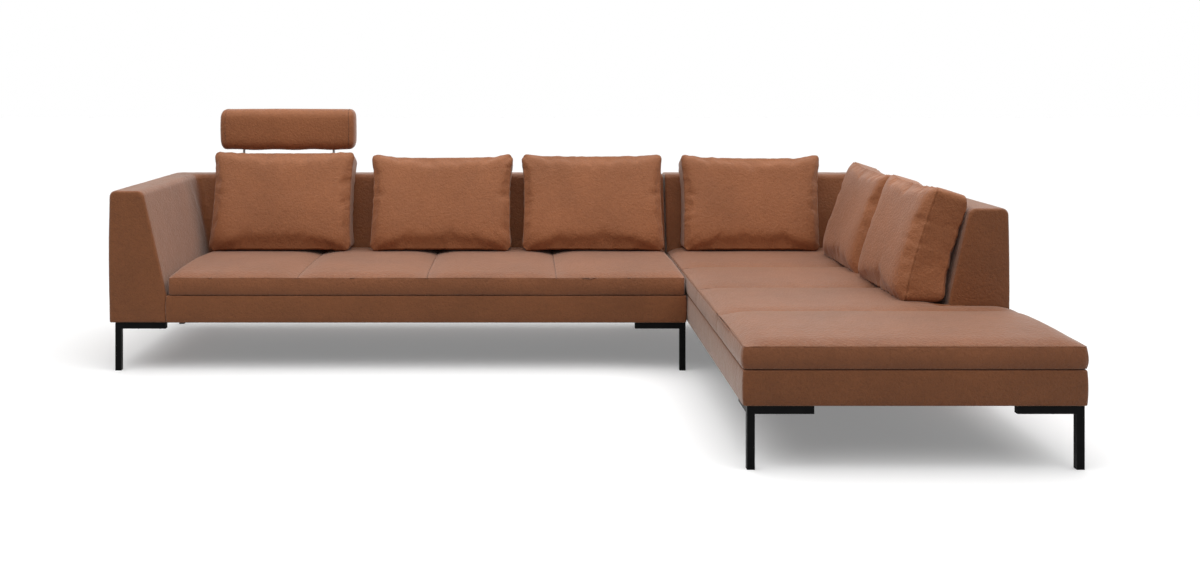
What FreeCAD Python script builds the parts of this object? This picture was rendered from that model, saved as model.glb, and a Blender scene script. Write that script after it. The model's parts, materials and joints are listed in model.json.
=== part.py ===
"""Corner sofa: a long seat with one arm, joined to an open-ended seat with a side back.

+X is to the right, +Y to the back and +Z up. The origin is on the floor, in the middle of the box.
All sizes are in millimetres. Every sub-part is written to parts/NODE.step.
"""

import FreeCAD
import Part

import math
import os

V = FreeCAD.Vector

# Overall sizes
OVERALL_WIDTH = 3540.0
OVERALL_DEPTH = 2340.0
MAIN_WIDTH = 2440.0
MAIN_DEPTH = 1020.0
MODULE_GAP = 6.0
FRAME_HEIGHT = 760.0
LEG_HEIGHT = 202.0
BASE_HEIGHT = 116.0
SIDE_BACK_LENGTH = 1690.0

# Arm and back walls
WALL_FOOT = 240.0
WALL_TOP = 140.0
WALL_TOP_RADIUS = 26.0
WALL_END_RADIUS = 12.0
WALL_OUTER_PAD = 10.0
WALL_INNER_PAD = 22.0
WALL_TOP_PAD = 25.0
BOARD = 22.0
RIB_SPACING = 700.0

# Seat bases
BASE_PAD = 6.0
BASE_CORNER_RADIUS = 9.0
BOTTOM_SKIN = 2.0
TOP_SKIN = 3.0
STRAP_THICKNESS = 2.0
STRAP_WIDTH = 60.0
DUST_COVER_THICKNESS = 1.0
DUST_COVER_INSET = 40.0
CROSS_RAIL_COUNT = 3

# Seat pads
PAD_LIFT = 2.0
PAD_BORDER = 73.0
PAD_CROWN = 22.0
PAD_SEAM_CROWN = 4.0
PAD_BULGE = 6.0
PAD_SEAM_BULGE = 2.0
PAD_ROLL = 95.0
ROLL_SHARE = 0.35
ROLL_RISE = 0.66
PAD_TOP_ARCH = 0.7
PAD_CHANNELS = 4
PAD_WALL_GAP = 8.0
PAD_WADDING = 16.0
PAD_CORNER_RADIUS = 15.0
GRIP_WIDTH = 50.0

# Back cushions
CUSHION_HEIGHT = 470.0
HEAD_CUSHION_HEIGHT = 482.0
SIDE_CUSHION_HEIGHT = 458.0
HEAD_CUSHION_EXTRA_WIDTH = 6.0
ARM_CUSHION_GAP = 22.0
HEAD_CUSHION_GAP = 78.0
CUSHION_GAP = 51.0
JOINT_CUSHION_GAP = 21.0
CORNER_CUSHION_GAPS = [69.0, 105.0]
SIDE_CUSHION_GAPS = [51.0, 14.0, 217.0]
CUSHION_THICKNESS = 110.0
CUSHION_LEAN = 17.5
CUSHION_CROWN = 24.0
CUSHION_EDGE_CROWN = 7.0
CUSHION_GUSSET_BULGE = 6.0
CUSHION_DRAW_IN = 11.0
CUSHION_WADDING = 22.0

# Headrest
HEADREST_OFF_CENTRE = -16.0
HEADREST_WIDTH = 668.0
HEADREST_HEIGHT = 194.0
HEADREST_THICKNESS = 122.0
HEADREST_BOTTOM = 886.0
HEADREST_BULGE = 8.0
HEADREST_CORNER = 40.0
HEADREST_END_RADIUS = 16.0
ROD_DIAMETER = 12.0
CROSSBAR_DIAMETER = 10.0
ROD_SPACING = 445.0
ROD_FROM_REAR = 85.0
ROD_BOTTOM = 590.0
PIVOT_ABOVE_BOTTOM = 46.0
TILT_MAX = 25.0
SLEEVE_WIDTH = 18.0
SLEEVE_LENGTH = 190.0
SLEEVE_FLANGE_WIDTH = 28.0
SLEEVE_FLANGE_HEIGHT = 2.0
HEADREST_BOARD = 12.0
HEADREST_WADDING = 26.0
ROD_SLOT_GAP = 2.0
CLAMP_WALL = 6.0
CLAMP_BACK = 8.0
CLAMP_WIDTH = 34.0
CLAMP_OFFSET = 110.0

# Legs
TUBE = 25.0
TUBE_WALL = 2.0
LEG_ARM_X = 212.0
LEG_ARM_Y = 158.0
LEG_INSET = 4.0
ARM_LEG_INSET = 25.0
JOINT_LEG_INSET = 13.0
GLIDE_HEIGHT = 4.0
GLIDE_SPIGOT = 14.0
CAP_THICKNESS = 1.5
CAP_SPIGOT = 8.0

# Plates and spacers that join the two modules
PLATE_LENGTH = 70.0
PLATE_WIDTH = 120.0
PLATE_THICKNESS = 3.0
PLATE_INSET = 230.0
SPACER_HEIGHT = 60.0

# Clearances
FIT = 0.1
SEAT_GAP = 0.3
HOLE_GAP = 0.3

# Places worked out from the sizes above
LEFT = -OVERALL_WIDTH / 2
RIGHT = OVERALL_WIDTH / 2 - PAD_BULGE
REAR = OVERALL_DEPTH / 2
END_FRONT = -OVERALL_DEPTH / 2 + PAD_BULGE
MAIN_FRONT = REAR - MAIN_DEPTH + PAD_BULGE
MAIN_RIGHT = LEFT + MAIN_WIDTH
END_LEFT = MAIN_RIGHT + MODULE_GAP
SIDE_BACK_FRONT = REAR - SIDE_BACK_LENGTH
BASE_TOP = LEG_HEIGHT + BASE_HEIGHT
PAD_BOTTOM = BASE_TOP + PAD_LIFT
PAD_WELT = PAD_BOTTOM + PAD_BORDER
SEAT_TOP = PAD_WELT + PAD_CROWN + PAD_TOP_ARCH
WALL_SLOPE = math.atan2(WALL_FOOT - WALL_TOP, FRAME_HEIGHT - BASE_TOP)
ARM_INNER = LEFT + WALL_FOOT
BACK_FACE = REAR - WALL_FOOT
SIDE_FACE = RIGHT - WALL_FOOT
LEAN = math.radians(CUSHION_LEAN)


def box(x0, x1, y0, y1, z0, z1):
    """A box between two corners."""
    return Part.makeBox(x1 - x0, y1 - y0, z1 - z0, V(x0, y0, z0))


def rod(radius, start, end):
    """A round bar from start to end."""
    return Part.makeCylinder(radius, (end - start).Length, start, end - start)


def prism(points, sweep):
    """A flat outline moved along sweep."""
    return Part.Face(Part.makePolygon(points + points[:1])).extrude(sweep)


def arc(a, b, c):
    """The edge of an arc from a through b to c."""
    return Part.Arc(a, b, c).toShape()


def line(a, b):
    """The edge of a straight line."""
    return Part.LineSegment(a, b).toShape()


def loft(wires):
    """A closed solid through a row of closed outlines, straight from each one to the next."""
    return Part.makeLoft(wires, True, True)


def turned(shape, angle, axis, centre=V(0, 0, 0)):
    """A turned copy of a shape."""
    copy = shape.copy()
    copy.rotate(centre, axis, angle)
    return copy


def moved(shape, x, y, z):
    """A moved copy of a shape."""
    copy = shape.copy()
    copy.translate(V(x, y, z))
    return copy


def edges_where(shape, test):
    """The straight edges of a shape whose middle and direction pass a test."""
    found = []
    for edge in shape.Edges:
        start, end = edge.Vertexes[0].Point, edge.Vertexes[-1].Point
        if edge.Length > 1.0 and test((start + end) * 0.5, (end - start).normalize()):
            found.append(edge)
    return found


def near(a, b):
    """True where two sizes are the same to a hundredth."""
    return abs(a - b) < 0.01


def evenly(first, last, count):
    """Evenly spaced places from first to last."""
    return [first + (last - first) * i / (count - 1) for i in range(count)]


def export(name, solids):
    """Writes one node, after checking each of its solids."""
    if not isinstance(solids, list):
        solids = solids.Solids
    for solid in solids:
        if not solid.isValid():
            raise ValueError(name + " has a solid that isn't valid")
    shape = solids[0] if len(solids) == 1 else Part.makeCompound(solids)
    shape.exportStep("parts/" + name + ".step")
    print(name, len(solids), "solids", round(sum(s.Volume for s in solids) / 1e6, 3), "litres")


# Arm and back walls


def wall_profile(place, outer, inner, top, bottom):
    """A wall's outline: upright outer face, inner face that leans back above the seat base.

    place(depth, height) turns the distance from the outer face and the height into a point.
    """
    low, high = LEG_HEIGHT + bottom, FRAME_HEIGHT - top
    narrow = WALL_TOP + top * math.tan(WALL_SLOPE)
    return [
        place(outer, low),
        place(outer, high),
        place(narrow - inner, high),
        place(WALL_FOOT - inner, BASE_TOP),
        place(WALL_FOOT - inner, low),
    ]


def wall_body(place, sweep, end_test):
    """A padded wall with its top edges and its free end rounded."""
    wall = prism(wall_profile(place, 0, 0, 0, 0), sweep)
    along = V(sweep).normalize()
    top_edges = edges_where(
        wall, lambda m, d: near(m.z, FRAME_HEIGHT) and abs(d.dot(along)) > 0.99
    )
    wall = wall.makeFillet(WALL_TOP_RADIUS, top_edges)
    if end_test is None:
        return wall
    end_edges = [
        edge
        for edge in wall.Edges
        if all(end_test(v.Point) for v in edge.Vertexes)
        and not all(near(v.Point.z, LEG_HEIGHT) for v in edge.Vertexes)
    ]
    return wall.makeFillet(WALL_END_RADIUS, end_edges)


def wall_space(place, sweep):
    """The hollow in a padded wall that holds its timber frame."""
    return prism(
        wall_profile(place, WALL_OUTER_PAD, WALL_INNER_PAD, WALL_TOP_PAD, BOTTOM_SKIN), sweep
    )


def wall_frame(place, sweep):
    """Timber in a wall: a top rail, a bottom rail and ribs between them."""
    space = wall_space(place, sweep)
    bounds = space.BoundBox
    rail_low = LEG_HEIGHT + BOTTOM_SKIN + BOARD
    rail_high = FRAME_HEIGHT - WALL_TOP_PAD - BOARD
    whole = [bounds.XMin, bounds.XMax, bounds.YMin, bounds.YMax]
    bottom_rail = space.common(box(*whole, bounds.ZMin, rail_low))
    top_rail = space.common(box(*whole, rail_high, bounds.ZMax))
    ribs = []
    length = sweep.Length
    count = max(3, int(round(length / RIB_SPACING)) + 1)
    along = V(sweep).normalize()
    for place_along in evenly(0, length - BOARD, count):
        start = place_along
        if abs(along.x) > 0.5:
            low_x = bounds.XMin + start
            slab = box(low_x, low_x + BOARD, bounds.YMin, bounds.YMax, rail_low, rail_high)
        else:
            low_y = bounds.YMin + start
            slab = box(bounds.XMin, bounds.XMax, low_y, low_y + BOARD, rail_low, rail_high)
        ribs.append(space.common(slab))
    return [bottom_rail, top_rail] + ribs


def mitre(corner, towards_x, keep_x_side):
    """A tall wedge that cuts a wall at 45 degrees where two walls meet at a rear corner."""
    reach = 2 * WALL_FOOT
    inner = corner + V(towards_x * reach, -reach, 0)
    beside = corner + (V(0, -reach, 0) if keep_x_side else V(towards_x * reach, 0, 0))
    outline = [corner, inner, beside]
    return prism([V(p.x, p.y, 0) for p in outline], V(0, 0, FRAME_HEIGHT + 1))


def build_walls():
    """The arm, the rear backs and the side back, each with its padding and its frame."""
    left_corner = V(LEFT, REAR, 0)
    right_corner = V(RIGHT, REAR, 0)

    def from_left(y):
        return lambda t, z: V(LEFT + t, y, z)

    def from_right(y):
        return lambda t, z: V(RIGHT - t, y, z)

    def from_rear(x):
        return lambda t, z: V(x, REAR - t, z)

    pad = BASE_PAD
    arm = wall_body(
        from_left(MAIN_FRONT), V(0, REAR - MAIN_FRONT, 0), lambda p: near(p.y, MAIN_FRONT)
    ).cut(mitre(left_corner, 1, False))
    main_back = wall_body(
        from_rear(LEFT), V(MAIN_RIGHT - LEFT, 0, 0), lambda p: near(p.x, MAIN_RIGHT)
    ).cut(mitre(left_corner, 1, True))
    end_back = wall_body(
        from_rear(END_LEFT), V(RIGHT - END_LEFT, 0, 0), lambda p: near(p.x, END_LEFT)
    ).cut(mitre(right_corner, -1, True))
    side_back = wall_body(
        from_right(SIDE_BACK_FRONT),
        V(0, REAR - SIDE_BACK_FRONT, 0),
        lambda p: near(p.y, SIDE_BACK_FRONT),
    ).cut(mitre(right_corner, -1, False))

    spaces = {
        "left_arm": (from_left(MAIN_FRONT + pad), V(0, BACK_FACE - MAIN_FRONT - pad, 0)),
        "main_back": (from_rear(ARM_INNER), V(MAIN_RIGHT - pad - ARM_INNER, 0, 0)),
        "corner_back": (from_rear(END_LEFT + pad), V(SIDE_FACE - END_LEFT - pad, 0, 0)),
        "side_back": (
            from_right(SIDE_BACK_FRONT + pad),
            V(0, BACK_FACE - SIDE_BACK_FRONT - pad, 0),
        ),
    }
    padded = {
        "left_arm": arm,
        "main_back": main_back,
        "corner_back": end_back,
        "side_back": side_back,
    }
    for name, (place, sweep) in spaces.items():
        cover = padded[name].cut(wall_space(place, sweep))
        frame = wall_frame(place, sweep)
        if name == "main_back":
            cover = cover.cut(sleeve_holes())
            frame = [board.cut(sleeve_holes()) for board in frame]
        export(name + "_upholstery", cover)
        export(name + "_frame", [s for board in frame for s in board.Solids])


# Seat bases


def base_outline(outline, inset):
    """The seat base's outline, drawn in by inset. The outline is a list of (x, y, x side, y side)."""
    return [(x + sx * inset, y + sy * inset) for x, y, sx, sy in outline]


def base_prism(outline, inset, low, high):
    """A prism of the seat base's outline."""
    points = [V(x, y, low) for x, y in base_outline(outline, inset)]
    return prism(points, V(0, 0, high - low))


def base_cover(outline, free_corners):
    """The upholstered skin of a seat base: closed sides, platform cloth on top and lining below."""
    outer = base_prism(outline, 0, LEG_HEIGHT, BASE_TOP)
    upright = edges_where(
        outer,
        lambda m, d: abs(d.z) > 0.99 and any(near(m.x, x) and near(m.y, y) for x, y in free_corners),
    )
    outer = outer.makeFillet(BASE_CORNER_RADIUS, upright)
    return outer.cut(base_prism(outline, BASE_PAD, LEG_HEIGHT + BOTTOM_SKIN, BASE_TOP - TOP_SKIN))


RAIL_LOW = LEG_HEIGHT + BOTTOM_SKIN
RAIL_HIGH = BASE_TOP - TOP_SKIN - STRAP_THICKNESS

MAIN_OUTLINE = [
    (ARM_INNER, MAIN_FRONT, 1, 1),
    (MAIN_RIGHT, MAIN_FRONT, -1, 1),
    (MAIN_RIGHT, BACK_FACE, -1, -1),
    (ARM_INNER, BACK_FACE, 1, -1),
]
END_OUTLINE = [
    (END_LEFT, END_FRONT, 1, 1),
    (RIGHT, END_FRONT, -1, 1),
    (RIGHT, SIDE_BACK_FRONT, -1, -1),
    (SIDE_FACE, SIDE_BACK_FRONT, -1, -1),
    (SIDE_FACE, BACK_FACE, -1, -1),
    (END_LEFT, BACK_FACE, 1, -1),
]


def main_frame():
    """Rails of the long seat: front, rear, two sides and cross rails."""
    x0, x1 = ARM_INNER + BASE_PAD, MAIN_RIGHT - BASE_PAD
    y0, y1 = MAIN_FRONT + BASE_PAD, BACK_FACE - BASE_PAD
    z = (RAIL_LOW, RAIL_HIGH)
    boards = [box(x0, x1, y0, y0 + BOARD, *z), box(x0, x1, y1 - BOARD, y1, *z)]
    for x in evenly(x0, x1 - BOARD, CROSS_RAIL_COUNT + 2):
        boards.append(box(x, x + BOARD, y0 + BOARD, y1 - BOARD, *z))
    return boards


def end_frame():
    """Rails of the open-ended seat, which is narrower beside the side back."""
    x0, x1, x2 = END_LEFT + BASE_PAD, SIDE_FACE - BASE_PAD, RIGHT - BASE_PAD
    y0, y1, y2 = END_FRONT + BASE_PAD, SIDE_BACK_FRONT - BASE_PAD, BACK_FACE - BASE_PAD
    z = (RAIL_LOW, RAIL_HIGH)
    boards = [
        box(x0, x2, y0, y0 + BOARD, *z),
        box(x0, x0 + BOARD, y0 + BOARD, y2 - BOARD, *z),
        box(x0, x1, y2 - BOARD, y2, *z),
        box(x2 - BOARD, x2, y0 + BOARD, y1 - BOARD, *z),
        box(x0 + BOARD, x2, y1 - BOARD, y1, *z),
        box(x1 - BOARD, x1, y1, y2 - BOARD, *z),
    ]
    for y in evenly(y1 - BOARD, y2 - BOARD, CROSS_RAIL_COUNT + 1)[1:-1]:
        boards.append(box(x0 + BOARD, x1 - BOARD, y, y + BOARD, *z))
    return boards


def main_straps():
    """Elastic webbing from the front rail to the rear rail."""
    y0, y1 = MAIN_FRONT + BASE_PAD, BACK_FACE - BASE_PAD
    x0, x1 = ARM_INNER + BASE_PAD + BOARD, MAIN_RIGHT - BASE_PAD - BOARD - STRAP_WIDTH
    z = (RAIL_HIGH, RAIL_HIGH + STRAP_THICKNESS)
    return [box(x, x + STRAP_WIDTH, y0, y1, *z) for x in evenly(x0, x1, 3 * PAD_CHANNELS)]


def end_straps():
    """Elastic webbing from the left rail to the right rails."""
    x0, x1, x2 = END_LEFT + BASE_PAD, SIDE_FACE - BASE_PAD, RIGHT - BASE_PAD
    y0, y2 = END_FRONT + BASE_PAD + BOARD, BACK_FACE - BASE_PAD - BOARD - STRAP_WIDTH
    z = (RAIL_HIGH, RAIL_HIGH + STRAP_THICKNESS)
    straps = []
    for y in evenly(y0, y2, 3 * PAD_CHANNELS):
        reach = x2 if y + STRAP_WIDTH < SIDE_BACK_FRONT - BASE_PAD else x1
        straps.append(box(x0, reach, y, y + STRAP_WIDTH, *z))
    return straps


def build_bases():
    """Skins, rails, webbing and dust covers of the two seat bases."""
    main_corner = [(MAIN_RIGHT, MAIN_FRONT)]
    end_corners = [(END_LEFT, END_FRONT), (RIGHT, END_FRONT)]
    rows = [
        ("main", MAIN_OUTLINE, main_corner, main_frame(), main_straps()),
        ("end", END_OUTLINE, end_corners, end_frame(), end_straps()),
    ]
    for name, outline, corners, boards, straps in rows:
        export(name + "_base_cover", base_cover(outline, corners))
        export(name + "_base_rails", [s for board in boards for s in board.Solids])
        export(name + "_webbing", straps)
        low = LEG_HEIGHT - DUST_COVER_THICKNESS
        export(name + "_dust_cover", base_prism(outline, DUST_COVER_INSET, low, LEG_HEIGHT))


# Seat pads


CHANNEL_STEPS = [0, 0.03, 0.09, 0.2, 0.35, 0.65, 0.8, 0.91, 0.97, 1]


def between(seam_size, full_size, share):
    """A size that swells from its value at a channel's seams to its full value in the middle."""
    return full_size - (full_size - seam_size) * abs(2 * share - 1) ** 3


def main_pad_section(x, share):
    """Outline across the long seat pad: flat below, bulging border in front, rolled front and crown."""
    crown, bulge = between(PAD_SEAM_CROWN, PAD_CROWN, share), between(PAD_SEAM_BULGE, PAD_BULGE, share)
    rear, roll_end = BACK_FACE - PAD_WALL_GAP, MAIN_FRONT + PAD_ROLL
    low_front, welt = V(x, MAIN_FRONT, PAD_BOTTOM), V(x, MAIN_FRONT, PAD_WELT)
    roll = V(x, MAIN_FRONT + ROLL_SHARE * PAD_ROLL, PAD_WELT + ROLL_RISE * crown)
    top_front, top_rear = V(x, roll_end, PAD_WELT + crown), V(x, rear, PAD_WELT + crown)
    high = V(x, (roll_end + rear) / 2, PAD_WELT + crown + PAD_TOP_ARCH)
    low_rear = V(x, rear, PAD_BOTTOM)
    return Part.Wire(
        [
            arc(low_front, V(x, MAIN_FRONT - bulge, (PAD_BOTTOM + PAD_WELT) / 2), welt),
            arc(welt, roll, top_front),
            arc(top_front, high, top_rear),
            line(top_rear, low_rear),
            line(low_rear, low_front),
        ]
    )


def end_pad_section(y, share):
    """Outline across the open-ended seat pad: flat below, bulging borders, rolled edges and crown."""
    crown, bulge = between(PAD_SEAM_CROWN, PAD_CROWN, share), between(PAD_SEAM_BULGE, PAD_BULGE, share)
    middle, top = (PAD_BOTTOM + PAD_WELT) / 2, PAD_WELT + crown
    roll_in, roll_up = ROLL_SHARE * PAD_ROLL, PAD_WELT + ROLL_RISE * crown
    low_left, low_right = V(END_LEFT, y, PAD_BOTTOM), V(RIGHT, y, PAD_BOTTOM)
    welt_left, welt_right = V(END_LEFT, y, PAD_WELT), V(RIGHT, y, PAD_WELT)
    top_left, top_right = V(END_LEFT + PAD_ROLL, y, top), V(RIGHT - PAD_ROLL, y, top)
    return Part.Wire(
        [
            arc(low_left, V(END_LEFT - bulge, y, middle), welt_left),
            arc(welt_left, V(END_LEFT + roll_in, y, roll_up), top_left),
            arc(top_left, V((END_LEFT + RIGHT) / 2, y, top + PAD_TOP_ARCH), top_right),
            arc(top_right, V(RIGHT - roll_in, y, roll_up), welt_right),
            arc(welt_right, V(RIGHT + bulge, y, middle), low_right),
            line(low_right, low_left),
        ]
    )


def channelled_pad(section, start, end):
    """A pad of sewn channels side by side, each lowest at its seams."""
    pitch = (end - start) / PAD_CHANNELS
    channels = [
        loft([section(start + (i + share) * pitch, share) for share in CHANNEL_STEPS])
        for i in range(PAD_CHANNELS)
    ]
    return channels[0].fuse(channels[1:])


def rounded_block(x0, x1, y0, y1, corners):
    """A tall block with rounded upright edges at some of its corners, to trim a pad with."""
    block = box(x0, x1, y0, y1, PAD_BOTTOM - PAD_LIFT, FRAME_HEIGHT)
    upright = edges_where(
        block,
        lambda m, d: abs(d.z) > 0.99 and any(near(m.x, x) and near(m.y, y) for x, y in corners),
    )
    return block.makeFillet(PAD_CORNER_RADIUS, upright)


def main_pad():
    """The long seat pad, with rounded front corners."""
    x0, x1 = ARM_INNER + PAD_WALL_GAP, MAIN_RIGHT - PAD_BULGE
    y0, y1 = MAIN_FRONT - PAD_BULGE, BACK_FACE - PAD_WALL_GAP
    return channelled_pad(main_pad_section, x0, x1).common(
        rounded_block(x0, x1, y0, y1, [(x0, y0), (x1, y0)])
    )


def end_pad():
    """The open-ended seat pad: full width in front, narrower beside the side back."""
    x0, x1 = END_LEFT - PAD_BULGE, RIGHT + PAD_BULGE
    y0, y1 = END_FRONT - PAD_BULGE, BACK_FACE - PAD_WALL_GAP
    pad = channelled_pad(end_pad_section, y0, y1).common(
        rounded_block(x0, x1, y0, y1, [(x0, y0), (x1, y0)])
    )
    beside_wall = box(
        SIDE_FACE - PAD_WALL_GAP, x1 + 1, SIDE_BACK_FRONT - PAD_WALL_GAP, REAR,
        PAD_BOTTOM - 1, FRAME_HEIGHT,
    )
    return pad.cut(beside_wall)


def foam_block(outline, inset, gap):
    """The foam core of a seat pad, as an upright prism of the base's outline."""
    return base_prism(outline, inset + gap, PAD_BOTTOM + 4 + gap, PAD_WELT - 4 - gap)


def build_pads():
    """Both seat pads with their foam cores, and the grip strips that hold them to the bases."""
    long_pad = main_pad().cut(foam_block(MAIN_OUTLINE, PAD_WADDING, 0))
    export("main_seat_pad", long_pad)
    export("main_seat_foam", foam_block(MAIN_OUTLINE, PAD_WADDING, SEAT_GAP))
    open_pad = end_pad().cut(foam_block(END_OUTLINE, PAD_WADDING, 0))
    export("end_seat_pad", open_pad)
    export("end_seat_foam", foam_block(END_OUTLINE, PAD_WADDING, SEAT_GAP))
    z = (BASE_TOP, PAD_BOTTOM)
    inset = 2 * GRIP_WIDTH
    strips = [
        box(ARM_INNER + inset, MAIN_RIGHT - inset, y, y + GRIP_WIDTH, *z)
        for y in (MAIN_FRONT + inset, BACK_FACE - inset - GRIP_WIDTH)
    ]
    strips += [
        box(x, x + GRIP_WIDTH, END_FRONT + inset, BACK_FACE - inset, *z)
        for x in (END_LEFT + inset, SIDE_FACE - inset - GRIP_WIDTH)
    ]
    export("seat_grip_strips", strips)


# Back cushions


def slanted(depth, height):
    """A point of a cushion's section from its distances through and up the leaning cushion."""
    return V(
        0,
        depth * math.cos(LEAN) + height * math.sin(LEAN),
        height * math.cos(LEAN) - depth * math.sin(LEAN),
    )


def cushion_section(x, width, height):
    """Outline through a back cushion: flat foot on the seat, leaning faces with a crown, boxed top."""
    rise = 1 - (2 * x / width) ** 2
    tall = height - CUSHION_DRAW_IN * rise
    crown = CUSHION_EDGE_CROWN + (CUSHION_CROWN - CUSHION_EDGE_CROWN) * rise
    at = V(x, 0, 0)
    front_low, rear_low = at, at + V(0, CUSHION_THICKNESS / math.cos(LEAN), 0)
    front_top, rear_top = at + slanted(0, tall), at + slanted(CUSHION_THICKNESS, tall)
    out = V(0, math.cos(LEAN), -math.sin(LEAN))
    up = V(0, math.sin(LEAN), math.cos(LEAN))
    return Part.Wire(
        [
            arc(front_low, (front_low + front_top) * 0.5 - out * crown, front_top),
            arc(front_top, (front_top + rear_top) * 0.5 + up * CUSHION_GUSSET_BULGE, rear_top),
            arc(rear_top, (rear_top + rear_low) * 0.5 + out * crown, rear_low),
            line(rear_low, front_low),
        ]
    )


def cushion_core(width, height, gap):
    """The filling of a back cushion, a leaning block inside its cover."""
    wadding = CUSHION_WADDING + gap
    half = width / 2 - CUSHION_DRAW_IN - wadding
    low, high = wadding, height - CUSHION_DRAW_IN - wadding
    deep = CUSHION_THICKNESS - wadding
    foot = low * math.tan(LEAN)
    points = [
        V(-half, foot + wadding / math.cos(LEAN), low),
        V(-half, foot + deep / math.cos(LEAN), low),
        V(-half, 0, 0) + slanted(deep, high),
        V(-half, 0, 0) + slanted(wadding, high),
    ]
    return prism(points, V(2 * half, 0, 0))


def cushion_cover(width, height):
    """The cover of a back cushion, with drawn-in sides and a hollow for its filling."""
    wires = [cushion_section(u * width / 2, width, height) for u in evenly(-1, 1, 9)]
    half, reach = width / 2, 2 * height
    outline = Part.Wire(
        [
            arc(V(-half, 0, 0), V(-half + CUSHION_DRAW_IN, 0, height / 2), V(-half, 0, height)),
            line(V(-half, 0, height), V(half, 0, height)),
            arc(V(half, 0, height), V(half - CUSHION_DRAW_IN, 0, height / 2), V(half, 0, 0)),
            line(V(half, 0, 0), V(-half, 0, 0)),
        ]
    )
    trim = Part.Face(outline).extrude(V(0, 2 * reach, 0))
    trim.translate(V(0, -reach, 0))
    return loft(wires).common(trim).cut(cushion_core(width, height, 0))


def cushion_setback(height):
    """How far a cushion's front foot stands before the wall's face at the seat base's top.

    The rear crown is an arc, and it touches the leaning wall face with a small gap.
    """
    tall = height - CUSHION_DRAW_IN
    rear_low = V(0, CUSHION_THICKNESS / math.cos(LEAN), 0)
    rear_top = slanted(CUSHION_THICKNESS, tall)
    half = (rear_top - rear_low).Length / 2
    radius = (half**2 + CUSHION_CROWN**2) / (2 * CUSHION_CROWN)
    out = V(0, math.cos(LEAN), -math.sin(LEAN))
    centre = (rear_low + rear_top) * 0.5 + out * (CUSHION_CROWN - radius)
    above = centre.z + SEAT_TOP + SEAT_GAP - BASE_TOP
    reach = radius + SEAT_GAP - above * math.sin(WALL_SLOPE)
    return centre.y + reach / math.cos(WALL_SLOPE)


def rear_cushion_spans():
    """Left and right ends of the four rear cushions, which share the seats with named gaps."""
    left = ARM_INNER + ARM_CUSHION_GAP
    gaps = HEAD_CUSHION_GAP + CUSHION_GAP + JOINT_CUSHION_GAP
    width = (MAIN_RIGHT - left - gaps - HEAD_CUSHION_EXTRA_WIDTH) / 3
    third = MAIN_RIGHT - JOINT_CUSHION_GAP - width
    second = third - CUSHION_GAP - width
    corner = (END_LEFT + CORNER_CUSHION_GAPS[0], SIDE_FACE - CORNER_CUSHION_GAPS[1])
    return [
        (left, left + width + HEAD_CUSHION_EXTRA_WIDTH),
        (second, second + width),
        (third, third + width),
        corner,
    ]


def side_cushion_spans():
    """Front and rear ends of the two side cushions, from the rear one."""
    front_gap, middle_gap, rear_gap = SIDE_CUSHION_GAPS
    front, rear = SIDE_BACK_FRONT + front_gap, BACK_FACE - rear_gap
    width = (rear - front - middle_gap) / 2
    return [(rear - width, rear), (front, front + width)]


def build_cushions():
    """Four cushions along the rear and two along the side back, all leaning on the walls."""
    foot = SEAT_TOP + SEAT_GAP
    rows = []
    for i, (low, high) in enumerate(rear_cushion_spans()):
        height = HEAD_CUSHION_HEIGHT if i == 0 else CUSHION_HEIGHT
        place = V((low + high) / 2, BACK_FACE - cushion_setback(height), foot)
        rows.append((high - low, height, 0, place))
    for low, high in side_cushion_spans():
        place = V(SIDE_FACE - cushion_setback(SIDE_CUSHION_HEIGHT), (low + high) / 2, foot)
        rows.append((high - low, SIDE_CUSHION_HEIGHT, -90, place))
    for i, (width, height, angle, place) in enumerate(rows):
        name = "back_cushion_" + str(i + 1)
        cover = turned(cushion_cover(width, height), angle, V(0, 0, 1))
        core = turned(cushion_core(width, height, SEAT_GAP), angle, V(0, 0, 1))
        export(name, moved(cover, place.x, place.y, place.z))
        export(name + "_filling", moved(core, place.x, place.y, place.z))


# Headrest


HEADREST_X = sum(rear_cushion_spans()[0]) / 2 + HEADREST_OFF_CENTRE
ROD_Y = REAR - ROD_FROM_REAR
PIVOT_Z = HEADREST_BOTTOM + PIVOT_ABOVE_BOTTOM
ROD_RADIUS = ROD_DIAMETER / 2
CROSSBAR_RADIUS = CROSSBAR_DIAMETER / 2
BOARD_FRONT = ROD_Y + ROD_RADIUS + CLAMP_BACK


def sleeve_places():
    """Where the two headrest rods stand on the back."""
    return [HEADREST_X - ROD_SPACING / 2, HEADREST_X + ROD_SPACING / 2]


def square_bar(x, y, width, low, high):
    """An upright square bar."""
    half = width / 2
    return box(x - half, x + half, y - half, y + half, low, high)


def sleeve_holes():
    """Holes through the back's top for the rod sleeves."""
    width, low = SLEEVE_WIDTH + 2 * HOLE_GAP, FRAME_HEIGHT - SLEEVE_LENGTH - 1
    return Part.makeCompound(
        [square_bar(x, ROD_Y, width, low, FRAME_HEIGHT + 1) for x in sleeve_places()]
    )


def build_sleeves():
    """Square flanged sleeves that guide the rods."""
    solids = []
    low, high = FRAME_HEIGHT - SLEEVE_LENGTH, FRAME_HEIGHT + SLEEVE_FLANGE_HEIGHT
    for x in sleeve_places():
        sleeve = square_bar(x, ROD_Y, SLEEVE_WIDTH, low, FRAME_HEIGHT)
        flange = square_bar(x, ROD_Y, SLEEVE_FLANGE_WIDTH, FRAME_HEIGHT, high)
        bore = rod(ROD_RADIUS + FIT, V(x, ROD_Y, low), V(x, ROD_Y, high))
        solids += sleeve.fuse(flange).cut(bore).Solids
    export("headrest_sleeves", solids)


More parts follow.
